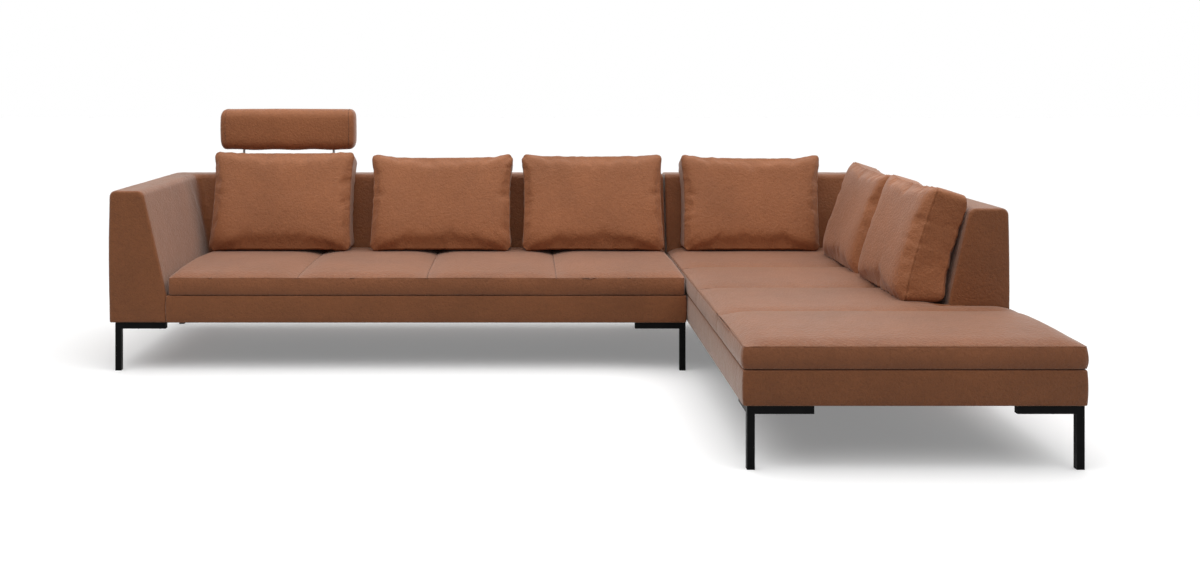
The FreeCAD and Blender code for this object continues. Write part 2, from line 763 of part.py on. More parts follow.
def headrest_rods():
    """Two steel rods, welded to the crossbar that the pad turns on."""
    left, right = sleeve_places()
    crossbar = rod(CROSSBAR_RADIUS, V(left, ROD_Y, PIVOT_Z), V(right, ROD_Y, PIVOT_Z))
    uprights = [
        rod(ROD_RADIUS, V(x, ROD_Y, ROD_BOTTOM), V(x, ROD_Y, PIVOT_Z + ROD_RADIUS))
        for x in (left, right)
    ]
    return crossbar.fuse(uprights)


def headrest_section(x, inset):
    """Outline through the headrest: four bulging sides with rounded corners, drawn in by inset."""
    middle = V(x, ROD_Y, HEADREST_BOTTOM + HEADREST_HEIGHT / 2)
    deep, high = HEADREST_THICKNESS / 2 - inset, HEADREST_HEIGHT / 2 - inset
    flat_y, flat_z = deep - HEADREST_CORNER, high - HEADREST_CORNER
    radius = HEADREST_CORNER - HEADREST_BULGE
    edges = []
    for side, turn in enumerate((180, 90, 0, 270)):
        angle = math.radians(turn)
        out = V(0, math.cos(angle), math.sin(angle))
        along = V(0, math.sin(angle), -math.cos(angle))
        reach, half = (flat_y, flat_z) if side % 2 == 0 else (flat_z, flat_y)
        start = middle + out * (reach + radius) - along * half
        end = middle + out * (reach + radius) + along * half
        corner = middle + out * reach + along * half
        edges.append(arc(start, middle + out * (reach + HEADREST_CORNER), end))
        edges.append(arc(end, corner + (out + along).normalize() * radius, corner + along * radius))
    return Part.Wire(edges)


def headrest_block():
    """The headrest's outer form, with rounded ends."""
    sections = []
    for side, angles in ((-1, (90, 60, 30, 0)), (1, (0, 30, 60, 90))):
        for degrees in angles:
            angle = math.radians(degrees)
            x = HEADREST_WIDTH / 2 - HEADREST_END_RADIUS * (1 - math.sin(angle))
            inset = HEADREST_END_RADIUS * (1 - math.cos(angle))
            sections.append(headrest_section(HEADREST_X + side * x, inset))
    return loft(sections)


def headrest_space():
    """The hollow in the headrest pad, in front of and behind the crossbar."""
    half = ROD_SPACING / 2 + HEADREST_WADDING
    low, high = PIVOT_Z - HEADREST_WADDING, HEADREST_BOTTOM + HEADREST_HEIGHT - HEADREST_WADDING
    front = ROD_Y - HEADREST_THICKNESS / 2 + HEADREST_WADDING
    return [HEADREST_X - half, HEADREST_X + half, front, BOARD_FRONT + HEADREST_BOARD, low, high]


def build_headrest():
    """The headrest: pad cover, foam, board, clamps on the crossbar, and the rods."""
    x0, x1, y0, y1, z0, z1 = headrest_space()
    pad = headrest_block().cut(box(x0, x1, y0, y1, z0, z1))
    swing = math.radians(TILT_MAX)
    clear = ROD_RADIUS + ROD_SLOT_GAP
    slot_front = (PIVOT_ABOVE_BOTTOM + ROD_SLOT_GAP) * math.tan(swing) + clear / math.cos(swing)
    for x in sleeve_places():
        slot = box(
            x - clear, x + clear, ROD_Y - slot_front, ROD_Y + clear, HEADREST_BOTTOM - 1, z0 + 1
        )
        pad = pad.cut(slot)
    export("headrest_pad", pad)

    g = SEAT_GAP
    foam_low = PIVOT_Z + ROD_RADIUS + 2 * CLAMP_WALL
    export("headrest_board", box(x0 + g, x1 - g, BOARD_FRONT, y1 - g, z0 + g, z1 - g))
    export("headrest_foam", box(x0 + g, x1 - g, y0 + g, BOARD_FRONT, foam_low, z1 - g))
    reach = ROD_RADIUS + CLAMP_WALL
    clamps = []
    for x in (HEADREST_X - CLAMP_OFFSET, HEADREST_X + CLAMP_OFFSET):
        low_x, high_x = x - CLAMP_WIDTH / 2, x + CLAMP_WIDTH / 2
        block = box(low_x, high_x, ROD_Y - reach, BOARD_FRONT, PIVOT_Z - reach, foam_low)
        start, end = V(low_x - 1, ROD_Y, PIVOT_Z), V(high_x + 1, ROD_Y, PIVOT_Z)
        bore = rod(CROSSBAR_RADIUS + FIT, start, end)
        clamps += block.cut(bore).Solids
    export("headrest_clamps", clamps)
    export("headrest_rods", headrest_rods())


# Legs


def leg_corners():
    """Name, outer corner and inward directions of every leg."""
    left = LEFT + ARM_LEG_INSET
    main_right, end_left = MAIN_RIGHT - LEG_INSET, END_LEFT + JOINT_LEG_INSET
    right, rear = RIGHT - LEG_INSET, REAR - LEG_INSET
    main_front, end_front = MAIN_FRONT + LEG_INSET, END_FRONT + LEG_INSET
    return [
        ("arm_front", left, main_front, 1, 1),
        ("arm_rear", left, rear, 1, -1),
        ("joint_front", main_right, main_front, -1, 1),
        ("joint_rear", main_right, rear, -1, -1),
        ("corner_inner", end_left, rear, 1, -1),
        ("corner_outer", right, rear, -1, -1),
        ("end_inner", end_left, end_front, 1, 1),
        ("end_outer", right, end_front, -1, 1),
    ]


def span(start, direction, length):
    """The low and high end of a length that runs from start."""
    return (start, start + length) if direction > 0 else (start - length, start)


def leg_bars(x, y, dx, dy, shrink):
    """The upright and the two arms of a leg, as bars drawn in by shrink."""
    top, low = LEG_HEIGHT - shrink, LEG_HEIGHT - TUBE + shrink
    across_x, across_y = span(x, dx, TUBE), span(y, dy, TUBE)
    x_tube = (across_x[0] + shrink, across_x[1] - shrink)
    y_tube = (across_y[0] + shrink, across_y[1] - shrink)
    over = 1.0 if shrink else 0.0
    x_arm = span(x + dx * shrink, dx, LEG_ARM_X - shrink + over)
    y_arm = span(y + dy * shrink, dy, LEG_ARM_Y - shrink + over)
    foot = GLIDE_HEIGHT - over
    upright = box(*x_tube, *y_tube, foot, top)
    return upright, box(*x_arm, *y_tube, low, top), box(*x_tube, *y_arm, low, top)


def build_legs():
    """Welded tube legs with glides and end caps."""
    glides, caps = [], []
    slack = SEAT_GAP / 2
    for name, x, y, dx, dy in leg_corners():
        solid = leg_bars(x, y, dx, dy, 0)
        hollow = leg_bars(x, y, dx, dy, TUBE_WALL)
        leg = solid[0].fuse(solid[1:]).cut(hollow[0].fuse(hollow[1:]))
        export("leg_" + name, leg.removeSplitter())
        x_tube, y_tube = span(x, dx, TUBE), span(y, dy, TUBE)
        wall = TUBE_WALL + slack
        spigot_x = (x_tube[0] + wall, x_tube[1] - wall)
        spigot_y = (y_tube[0] + wall, y_tube[1] - wall)
        spigot_z = (LEG_HEIGHT - TUBE + wall, LEG_HEIGHT - wall)
        foot = box(*x_tube, *y_tube, 0, GLIDE_HEIGHT)
        plug = box(*spigot_x, *spigot_y, GLIDE_HEIGHT, GLIDE_HEIGHT + GLIDE_SPIGOT)
        glides.append(foot.fuse(plug).removeSplitter())
        end_x, end_y = x + dx * LEG_ARM_X, y + dy * LEG_ARM_Y
        z_tube = (LEG_HEIGHT - TUBE, LEG_HEIGHT)
        caps.append(
            box(*span(end_x, dx, CAP_THICKNESS), *y_tube, *z_tube).fuse(
                box(*span(end_x, -dx, CAP_SPIGOT), *spigot_y, *spigot_z)
            )
        )
        caps.append(
            box(*x_tube, *span(end_y, dy, CAP_THICKNESS), *z_tube).fuse(
                box(*spigot_x, *span(end_y, -dy, CAP_SPIGOT), *spigot_z)
            )
        )
    export("leg_glides", [s for g in glides for s in g.Solids])
    export("leg_end_caps", [s for c in caps for s in c.Solids])


def build_joint():
    """Plates below both bases and spacers between them, where the modules meet."""
    middle = (MAIN_RIGHT + END_LEFT) / 2
    plates, spacers = [], []
    for y in (MAIN_FRONT + PLATE_INSET, BACK_FACE - PLATE_INSET):
        low, high = y - PLATE_WIDTH / 2, y + PLATE_WIDTH / 2
        reach = PLATE_LENGTH / 2
        z = (LEG_HEIGHT - PLATE_THICKNESS, LEG_HEIGHT)
        plates.append(box(middle - reach, middle + reach, low, high, *z))
        z = (LEG_HEIGHT + BASE_HEIGHT / 2 - SPACER_HEIGHT / 2, LEG_HEIGHT + BASE_HEIGHT / 2 + SPACER_HEIGHT / 2)
        spacers.append(box(MAIN_RIGHT, END_LEFT, low, high, *z))
    export("module_joining_plates", plates)
    export("module_spacers", spacers)


def main():
    os.makedirs("parts", exist_ok=True)
    build_walls()
    build_bases()
    build_pads()
    build_cushions()
    build_sleeves()
    build_headrest()
    build_legs()
    build_joint()


main()
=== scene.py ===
"""The looks of a leather corner sofa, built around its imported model.

Everything is in metres, in the model's own frame: +X right, +Y back, +Z up.
"""

import json
import math

import bmesh
import bpy
import numpy as np
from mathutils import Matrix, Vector, noise
from mathutils.bvhtree import BVHTree


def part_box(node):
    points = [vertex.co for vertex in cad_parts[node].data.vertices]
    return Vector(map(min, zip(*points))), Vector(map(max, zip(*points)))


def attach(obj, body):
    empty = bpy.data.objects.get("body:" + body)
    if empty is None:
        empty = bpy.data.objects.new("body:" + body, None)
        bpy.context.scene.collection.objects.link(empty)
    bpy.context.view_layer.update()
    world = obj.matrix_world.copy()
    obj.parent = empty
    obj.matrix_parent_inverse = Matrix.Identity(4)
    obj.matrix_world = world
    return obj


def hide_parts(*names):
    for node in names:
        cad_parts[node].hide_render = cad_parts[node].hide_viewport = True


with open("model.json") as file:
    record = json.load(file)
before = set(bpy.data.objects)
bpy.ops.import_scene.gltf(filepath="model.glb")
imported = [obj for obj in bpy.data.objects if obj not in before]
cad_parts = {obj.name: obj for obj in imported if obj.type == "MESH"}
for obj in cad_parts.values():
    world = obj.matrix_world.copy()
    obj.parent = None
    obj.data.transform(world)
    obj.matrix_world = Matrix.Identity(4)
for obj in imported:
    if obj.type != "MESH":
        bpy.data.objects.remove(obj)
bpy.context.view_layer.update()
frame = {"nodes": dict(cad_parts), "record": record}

# Photograph and camera, in the photograph's pixels where not said otherwise
PHOTO_WIDTH, PHOTO_HEIGHT = 1200, 581
FOCAL_PIXELS = 1249.0
VANISHING_X, VANISHING_Y = 523.0, 72.5
SENSOR_MM = 36.0
CAMERA_PLACE = Vector((-0.0213, -5.120, 1.260))

# Studio light: the surround's strength towards the front and the back, and two lamps
WORLD_FRONT, WORLD_BACK = 0.12, 0.62
WORLD_DIRECTION = (0.70, 0.71, 0.0)
TOP_LIGHT = 2.1
LAMP_LIGHT = 48.0
FLOOR_REACH = 30.0

# Sewn seams: the width and depth of the groove, and how far its banks are raised
CUSHION_GROOVE = (0.0034, 0.0042, 0.0012)
WELT_GROOVE = (0.0034, 0.0042, 0.0018)
CHANNEL_GROOVE = (0.0022, 0.0018, 0.0)
HEADREST_GROOVE = (0.0018, 0.0016, 0.0003)

# Points of a flat cut that are closer than NEAR to a line lie on it
NEAR = 1e-5

# Walls
WALL_TOP = 0.140
WALL_END_RADIUS = 0.010
WALL_OUTER_RADIUS = 0.024
WALL_INNER_RADIUS = 0.030
WALL_FOOT_RADIUS = 0.006
WALL_CORNER = 0.034
WALL_BULGE = 0.004
WALL_SINK = 0.0005
WALL_PITCH = 0.020
WALL_CAP_RINGS = (0.965, 0.93, 0.8, 0.6, 0.4, 0.2)
WALL_CAP_BULGE = 0.003
SIDE_SWELL = 0.006

# Back cushions
LEAN = math.radians(17.5)
CUSHION_DEPTH = 0.110
CUSHION_GRID = 0.0125
CUSHION_CORNER = 0.026
CUT = 1.012
PRESSURE = 4.0
SIM_FRAMES = 20
CUSHION_CAP = 0.030
CUSHION_BELLY = 0.014
CUSHION_RIM = 0.018
SIDE_CUSHION_SINK = 0.010
CLEAR = 0.0006

# Headrest
HEADREST_ROUND = 0.040
HEADREST_END = 0.026
HEADREST_SEAM = 0.030
HEADREST_TAPER = 0.17
HEADREST_SAG = 0.009

# Seat pads
PAD_GRID = 0.013
PAD_ROLL = 0.200
PAD_EDGE = 0.055
PAD_SIDE_ROLL = 0.110
PAD_SEAM = 0.150
PAD_SWELL = 0.012
PAD_SWELL_REACH = 0.62
PAD_CORNER = 0.014
PAD_BULGE = 0.006
PAD_BORDER = 0.070
PAD_SINK = 0.0012
PAD_NOTCH_GAP = 0.008

# Stitches and screws
STITCH_PITCH = 0.0060
STITCH_LENGTH = 0.0044
STITCH_WIDTH = 0.0011
STITCH_HEIGHT = 0.0008
STITCH_LIFT = 0.0075
SCREW_PROFILE = ((0.0055, 0.0), (0.0050, 0.0022), (0.0030, 0.0032))
SCREW_SIDES = 12
LEG_SCREWS = (0.45, 0.88)
PLATE_SCREWS = (0.03, 0.09)
LEG_TUBE = 0.025


# Nodes' places in the frame


def low(node):
    """A node's lowest corner."""
    return Vector(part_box(node)[0])


def high(node):
    """A node's highest corner."""
    return Vector(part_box(node)[1])


BASE_BOTTOM = low("main_base_cover").z
BASE_TOP = high("main_base_cover").z
FRAME_TOP = high("main_back_upholstery").z
LEFT = low("left_arm_upholstery").x
REAR = high("main_back_upholstery").y
RIGHT = high("side_back_upholstery").x + SIDE_SWELL
MAIN_FRONT = low("left_arm_upholstery").y
MAIN_RIGHT = high("main_back_upholstery").x
END_LEFT = low("corner_back_upholstery").x
END_FRONT = low("end_base_cover").y
SIDE_FRONT = low("side_back_upholstery").y
ARM_INNER = high("left_arm_upholstery").x
BACK_FACE = low("main_back_upholstery").y
SIDE_FACE = low("side_back_upholstery").x
WALL_FOOT = REAR - BACK_FACE
WALL_SLOPE = math.atan2(WALL_FOOT - WALL_TOP, FRAME_TOP - BASE_TOP)


# Materials


class Shader:
    """A node tree with short helpers. A helper's values are plain numbers and colours or other outputs."""

    def __init__(self, name, world=None):
        self.material = world or bpy.data.materials.new(name)
        self.material.use_nodes = True
        self.tree = self.material.node_tree
        self.bsdf = self.tree.nodes["Background" if world else "Principled BSDF"]
        self.coordinates = self.add("ShaderNodeTexCoord").outputs["Generated" if world else "Object"]

    def feed(self, value, socket):
        if isinstance(value, bpy.types.NodeSocket):
            self.tree.links.new(value, socket)
        elif value is not None:
            socket.default_value = value

    def add(self, kind, inputs=None, **settings):
        node = self.tree.nodes.new(kind)
        for key, value in settings.items():
            setattr(node, key, value)
        for key, value in (inputs or {}).items():
            self.feed(value, node.inputs[key])
        return node

    def scaled(self, scale):
        """Object coordinates, stretched by a scale for each axis."""
        return self.add("ShaderNodeMapping", {"Scale": scale, "Vector": self.coordinates}).outputs["Vector"]

    def noise(self, scale, detail=3.0, roughness=0.5, distortion=0.0, vector=None):
        inputs = {"Scale": scale, "Detail": detail, "Roughness": roughness, "Distortion": distortion}
        inputs["Vector"] = vector or self.coordinates
        return self.add("ShaderNodeTexNoise", inputs).outputs["Fac"]

    def cells(self, scale, feature="F1", vector=None):
        inputs = {"Scale": scale, "Vector": vector or self.coordinates}
        return self.add("ShaderNodeTexVoronoi", inputs, feature=feature).outputs["Distance"]

    def ramp(self, source, stops):
        node = self.add("ShaderNodeValToRGB", {"Fac": source})
        elements = node.color_ramp.elements
        while len(elements) < len(stops):
            elements.new(0.5)
        for element, (place, colour) in zip(elements, stops):
            element.position = place
            element.color = (*colour, 1.0)
        return node.outputs["Color"]

    def span(self, source, low_in, high_in, low_out, high_out):
        inputs = {"Value": source, "From Min": low_in, "From Max": high_in}
        inputs |= {"To Min": low_out, "To Max": high_out}
        return self.add("ShaderNodeMapRange", inputs).outputs["Result"]

    def blend(self, kind, fac, a, b):
        node = self.add("ShaderNodeMix", data_type="RGBA", blend_type=kind)
        for value, key in ((fac, 0), (a, 6), (b, 7)):
            self.feed(value, node.inputs[key])
        return node.outputs[2]

    def maths(self, kind, a, b):
        return self.add("ShaderNodeMath", {0: a, 1: b}, operation=kind).outputs[0]

    def vectors(self, kind, inputs):
        return self.add("ShaderNodeVectorMath", inputs, operation=kind).outputs

    def white_rays(self):
        """1 for the rays that see the white surround: from the camera, through glass and from gloss."""
        path = self.add("ShaderNodeLightPath").outputs
        seen = self.maths("MAXIMUM", path["Is Camera Ray"], path["Is Glossy Ray"])
        return self.maths("MAXIMUM", seen, path["Is Transmission Ray"])

    def bump(self, height, strength, distance, normal=None):
        inputs = {"Strength": strength, "Distance": distance, "Height": height, "Normal": normal}
        return self.add("ShaderNodeBump", inputs).outputs["Normal"]

    def set(self, **values):
        for key, value in values.items():
            self.bsdf.inputs[key.replace("_", " ")].default_value = value

    def finish(self, colour=None, roughness=None, normal=None):
        for key, value in (("Base Color", colour), ("Roughness", roughness), ("Normal", normal)):
            if value:
                self.feed(value, self.bsdf.inputs[key])
        return self.material


def leather(name, base, sheen):
    """Pebbled, softly glossy leather with a slightly uneven dye, and painted shade in the creases of its
    grain.
    """
    s = Shader(name)
    pale, deep = tuple(1.12 * c for c in base), tuple(0.87 * c for c in base)
    cloud = s.noise(3.1, 4.0, 0.55, 0.3)
    colour = s.ramp(cloud, [(0.30, deep), (0.52, base), (0.76, pale)])
    fine = s.noise(46.0, 3.0, 0.6)
    mottled = s.ramp(fine, [(0.25, (0.92, 0.91, 0.90)), (0.75, (1.06, 1.06, 1.05))])
    colour = s.blend("MULTIPLY", 1.0, colour, mottled)
    drift = s.add("ShaderNodeTexNoise", {"Scale": 60.0, "Vector": s.coordinates}).outputs["Color"]
    small = s.vectors("SCALE", {"Scale": 0.006, 0: drift})[0]
    warped = s.vectors("ADD", {0: s.coordinates, 1: small})[0]
    pebble = s.cells(250.0, "SMOOTH_F1", warped)
    coarse = s.cells(100.0, "SMOOTH_F1", warped)
    # The grain's creases are painted darker and its pebble tops a touch lighter: painted shade where the bump
    # dips.
    creases = s.span(pebble, 0.15, 0.62, 0.0, 1.0)
    painted_crease_shade = s.ramp(creases, [(0.0, (1.05, 1.05, 1.05)), (0.7, (0.98, 0.98, 0.98)), (1.0, (0.80, 0.78, 0.76))])
    colour = s.blend("MULTIPLY", 0.55, colour, painted_crease_shade)
    height = s.maths("ADD", s.maths("MULTIPLY", pebble, -0.8), s.maths("MULTIPLY", coarse, -1.3))
    folds = s.noise(24.0, 3.0, 0.55, 0.8)
    normal = s.bump(folds, 0.35, 0.0030)
    normal = s.bump(height, 0.65, 0.0018, normal)
    roughness = s.span(s.noise(17.0, 3.0), 0.3, 0.7, 0.45, 0.56)
    s.set(Specular_IOR_Level=0.16, Sheen_Weight=sheen, Sheen_Roughness=0.5, Sheen_Tint=(1.0, 0.93, 0.87, 1.0))
    return s.finish(colour, roughness, normal)


def thread(name):
    """Twisted waxed thread."""
    s = Shader(name)
    colour = s.ramp(s.noise(900.0), [(0.3, (0.26, 0.125, 0.070)), (0.7, (0.36, 0.190, 0.110))])
    s.set(Roughness=0.6, Sheen_Weight=0.1)
    return s.finish(colour, None, s.bump(s.noise(1500.0), 0.4, 0.0003))


def painted(name, colour, roughness, grain):
    """Powder coat or moulded plastic: one colour with a fine orange peel."""
    s = Shader(name)
    lighter = tuple(1.35 * c + 0.002 for c in colour)
    shade = s.ramp(s.noise(35.0, 4.0), [(0.3, colour), (0.8, lighter)])
    s.set(Specular_IOR_Level=0.06)
    rough = s.span(s.noise(60.0), 0.3, 0.7, roughness - 0.05, roughness + 0.06)
    return s.finish(shade, rough, s.bump(s.noise(grain, 2.0), 0.25, 0.0003))


def metal(name, colour, roughness, stretch):
    """Plated or polished steel with fine lines along one axis."""
    s = Shader(name)
    lines = s.noise(400.0, 3.0, 0.6, 0.0, s.scaled(stretch))
    shade = s.ramp(lines, [(0.2, tuple(0.88 * c for c in colour)), (0.8, colour)])
    s.set(Metallic=1.0)
    rough = s.span(lines, 0.2, 0.8, roughness - 0.06, roughness + 0.08)
    return s.finish(shade, rough, s.bump(lines, 0.08, 0.0002))


def timber(name, pale, dark, stretch):
    """Planed timber or plywood with its rings along one axis."""
    s = Shader(name)
    rings = s.noise(14.0, 5.0, 0.6, 1.5, s.scaled(stretch))
    shade = s.ramp(rings, [(0.35, dark), (0.55, pale), (0.75, tuple(1.1 * c for c in pale))])
    s.set(Roughness=0.65)
    return s.finish(shade, None, s.bump(rings, 0.3, 0.0006))


def woven(name, pale, dark, pitch):
    """Cloth or webbing with a plain weave."""
    s = Shader(name)
    waves = []
    for axis in ("X", "Y"):
        inputs = {"Scale": 1.0 / pitch / 3.18, "Vector": s.coordinates}
        wave = s.add("ShaderNodeTexWave", inputs, wave_type="BANDS", bands_direction=axis)
        waves.append(wave.outputs["Fac"])
    weave = s.maths("MULTIPLY", waves[0], waves[1])
    shade = s.ramp(weave, [(0.1, dark), (0.8, pale)])
    s.set(Roughness=0.85, Sheen_Weight=0.15)
    return s.finish(shade, None, s.bump(weave, 0.5, 0.0006))


def foam(name):
    """Cut foam with open pores."""
    s = Shader(name)
    pores = s.cells(420.0)
    # The pores are painted darker: painted shade in the holes.
    shade = s.ramp(pores, [(0.1, (0.55, 0.50, 0.34)), (0.5, (0.82, 0.78, 0.60))])
    s.set(Roughness=0.9)
    return s.finish(shade, None, s.bump(pores, 0.5, 0.0012))


def floor_material():
    """A plain pale floor that keeps the sofa's shadow. Rays from the camera and from gloss see it white."""
    s = Shader("floor_pale")
    seen = s.white_rays()
    shade = s.blend("MIX", seen, (0.35, 0.35, 0.35, 1.0), (0.82, 0.82, 0.82, 1.0))
    s.feed(s.maths("MULTIPLY", seen, 0.22), s.bsdf.inputs["Emission Strength"])
    s.set(Roughness=0.9, Specular_IOR_Level=0.0, Emission_Color=(1.0, 1.0, 1.0, 1.0))
    return s.finish(shade)


# One leather in three copies. Compared with the seat's copy, the body's copy is painted darker (painted
# shade) and the copy for the cushions and headrest is painted lighter (painted light), to stand in for how
# light falls on them.
LEATHER_BODY_PAINTED_SHADE = leather("hide_body", (0.228, 0.080, 0.029), 0.42)
LEATHER_SEAT = leather("hide_seat", (0.240, 0.086, 0.034), 0.40)
LEATHER_CUSHION_PAINTED_LIGHT = leather("hide_cushion", (0.312, 0.118, 0.050), 0.20)
THREAD = thread("seam_thread")
SLOT_MATERIALS = {
    "leather_body": LEATHER_BODY_PAINTED_SHADE,
    "leather_seat": LEATHER_SEAT,
    "leather_cushion": LEATHER_CUSHION_PAINTED_LIGHT,
    "foam": foam("cut_foam"),
    "timber": timber("planed_timber", (0.60, 0.40, 0.22), (0.44, 0.27, 0.13), (1.0, 1.0, 6.0)),
    "plywood": timber("birch_plywood", (0.66, 0.48, 0.29), (0.55, 0.37, 0.20), (1.0, 4.0, 10.0)),
    "webbing": woven("elastic_webbing", (0.10, 0.095, 0.09), (0.03, 0.03, 0.03), 0.003),
    "lining": woven("black_lining", (0.030, 0.030, 0.031), (0.012, 0.012, 0.012), 0.0016),
    "grip_tape": woven("grip_tape", (0.04, 0.04, 0.04), (0.01, 0.01, 0.01), 0.002),
    "black_steel": painted("black_powder_coat", (0.0024, 0.0024, 0.0026), 0.42, 900.0),
    "black_plastic": painted("black_plastic", (0.006, 0.006, 0.006), 0.55, 500.0),
    "zinc_steel": metal("zinc_plate", (0.56, 0.57, 0.58), 0.42, (1.0, 8.0, 8.0)),
    "rubber": painted("spacer_rubber", (0.012, 0.012, 0.012), 0.8, 300.0),
    "rod_steel": metal("satin_rod", (0.30, 0.30, 0.31), 0.32, (8.0, 8.0, 0.6)),
    "nylon": painted("black_nylon", (0.010, 0.010, 0.011), 0.5, 400.0),
}


def dress_nodes():
    """Gives every node of the frame its slot's material."""
    for row in frame["record"]["subparts"]:
        materials = frame["nodes"][row["node"]].data.materials
        materials.clear()
        materials.append(SLOT_MATERIALS[row["material_slot"]])


# Mesh helpers


def smooth(mesh):
    """Shades all of a mesh's faces smooth."""
    mesh.polygons.foreach_set("use_smooth", [True] * len(mesh.polygons))


def linked(name, data):
    """A new object of the given mesh, lamp or camera, in the scene."""
    made = bpy.data.objects.new(name, data)
    bpy.context.collection.objects.link(made)
    return made


def new_piece(name, vertices, faces, material):
    """A smooth-shaded object of a mesh."""
    mesh = bpy.data.meshes.new(name)
    mesh.from_pydata([tuple(v) for v in vertices], [], faces)
    mesh.validate()
    smooth(mesh)
    mesh.materials.append(material)
    return linked(name, mesh)


def vectors(rows, key):
    """The vectors that a mesh keeps for its points, as an array."""
    found = np.empty(len(rows) * 3, dtype=np.float32)
    rows.foreach_get(key, found)
    return found.reshape(-1, 3).astype(np.float64)


def coordinates(mesh):
    """A mesh's points as an array."""
    return vectors(mesh.vertices, "co")


def move_points(mesh, points):
    """Sets a mesh's points from an array."""
    mesh.vertices.foreach_set("co", np.asarray(points, dtype=np.float64).ravel())
    mesh.update()


def normals(mesh):
    """A mesh's point normals as an array."""
    return vectors(mesh.vertex_normals, "vector")


def steps(start, end, pitch):
    """Evenly spaced places from start to end, about a pitch apart."""
    count = max(1, int(round(abs(end - start) / pitch)))
    return [start + (end - start) * i / count for i in range(count + 1)]


def graded(start, end, pitch, edges, reach=0.03):
    """Places from start to end, about a pitch apart and closer near the edges."""
    places = [start]
    while places[-1] < end - 1e-9:
        gap = min(abs(places[-1] - e) for e in edges)
        ahead = min([e - places[-1] for e in edges if e > places[-1] + 1e-9] + [9.0])
        step = pitch * (0.32 + 0.68 * min(1.0, min(gap, ahead) / reach))
        places.append(places[-1] + min(step, ahead if ahead < 1.4 * step else step))
    places[-1] = end
    return places


def wave_noise(points, scale, seed):
    """Smooth noise from -1 to 1 at each point."""
    shift = Vector((seed * 3.7, seed * 1.3, seed * 2.1))
    return np.array([noise.noise(Vector(p) * scale + shift) for p in points])


def bands(starts, count):
    """Faces between each two neighbours in a row of rings, which are given by their first points."""
    faces = []
    for a, b in zip(starts, starts[1:]):
        for i in range(count):
            j = (i + 1) % count
            faces.append((a + i, a + j, b + j, b + i))
    return faces


def looped_solid(name, loops, material, cap_rings, cap_bulge):
    """A solid through closed loops of points, capped at both ends with rings that close to a point."""
    count = len(loops[0])
    vertices = [point for loop in loops for point in loop]
    starts = [count * i for i in range(len(loops))]
    faces = bands(starts, count)
    for end, neighbour, flip in ((0, 1, True), (-1, -2, False)):
        loop = np.array(loops[end])
        centre = loop.mean(axis=0)
        out = centre - np.array(loops[neighbour]).mean(axis=0)
        out = out / (np.linalg.norm(out) + 1e-9)
        last = starts[end]
        for scale in cap_rings:
            inner = len(vertices)
            rise = cap_bulge * (1 - scale**2)
            vertices.extend(tuple(centre + (p - centre) * scale + out * rise) for p in loop)
            faces += bands([inner, last] if flip else [last, inner], count)
            last = inner
        tip = len(vertices)
        vertices.append(tuple(centre + out * cap_bulge))
        for i in range(count):
            j = (i + 1) % count
            faces.append((last + j, last + i, tip) if flip else (last + i, last + j, tip))
    return new_piece(name, vertices, faces, material)


# Walls: an arm and a back, or a back and a side back, wrapped in one cover


def wall_section(inset, pitch=0.016):
    """A wall's closed outline as (depth from the outer face, height), drawn in by inset."""
    outer, inner, foot = WALL_OUTER_RADIUS, WALL_INNER_RADIUS, WALL_FOOT_RADIUS
    top = FRAME_TOP - WALL_SINK
    inner_turn = math.pi / 2 - WALL_SLOPE

    def inner_depth(z):
        share = max(0.0, min(1.0, (FRAME_TOP - z) / (FRAME_TOP - BASE_TOP)))
        return WALL_TOP + share * (WALL_FOOT - WALL_TOP)

    points = [(0.0, z) for z in steps(BASE_BOTTOM + foot, top - outer, pitch)]
    for angle in steps(math.radians(15), math.radians(90), math.radians(15)):
        points.append((outer * (1 - math.cos(angle)), top - outer * (1 - math.sin(angle))))
    end = inner_depth(top) - inner * math.tan(inner_turn / 2)
    for depth in steps(outer, end, pitch)[1:]:
        points.append((depth, top))
    for angle in steps(0.0, inner_turn, inner_turn / 8)[1:]:
        points.append((end + inner * math.sin(angle), top - inner * (1 - math.cos(angle))))
    for z in steps(points[-1][1], BASE_TOP, pitch)[1:]:
        points.append((inner_depth(z), z))
    for z in steps(BASE_TOP, BASE_BOTTOM + foot, pitch)[1:]:
        points.append((WALL_FOOT, z))
    for angle in steps(0.0, math.pi / 2, math.pi / 6)[1:]:
        points.append((WALL_FOOT - foot * (1 - math.cos(angle)), BASE_BOTTOM + foot * (1 - math.sin(angle))))
    for depth in steps(WALL_FOOT - foot, foot, 0.03)[1:]:
        points.append((depth, BASE_BOTTOM))
    for angle in steps(0.0, math.pi / 2, math.pi / 6)[1:-1]:
        points.append((foot * (1 - math.sin(angle)), BASE_BOTTOM + foot * (1 - math.cos(angle))))
    middle_z, half_z = (BASE_BOTTOM + FRAME_TOP) / 2, (FRAME_TOP - BASE_BOTTOM) / 2
    drawn = []
    for depth, z in points:
        middle = inner_depth(z) / 2
        drawn_depth = middle + (depth - middle) * (1 - inset / middle)
        drawn.append((drawn_depth, middle_z + (z - middle_z) * (1 - inset / half_z)))
    return drawn


def wall_bulge(depth, z):
    """How far a wall's padding stands out, in depth, at a point of its outline."""
    share = (z - BASE_BOTTOM) / (FRAME_TOP - BASE_BOTTOM)
    swell = WALL_BULGE * math.sin(math.pi * min(1.0, max(0.0, share)))
    return -swell if depth < 0.02 else (0.6 * swell if depth > WALL_TOP - 0.03 and z > BASE_TOP else 0.0)


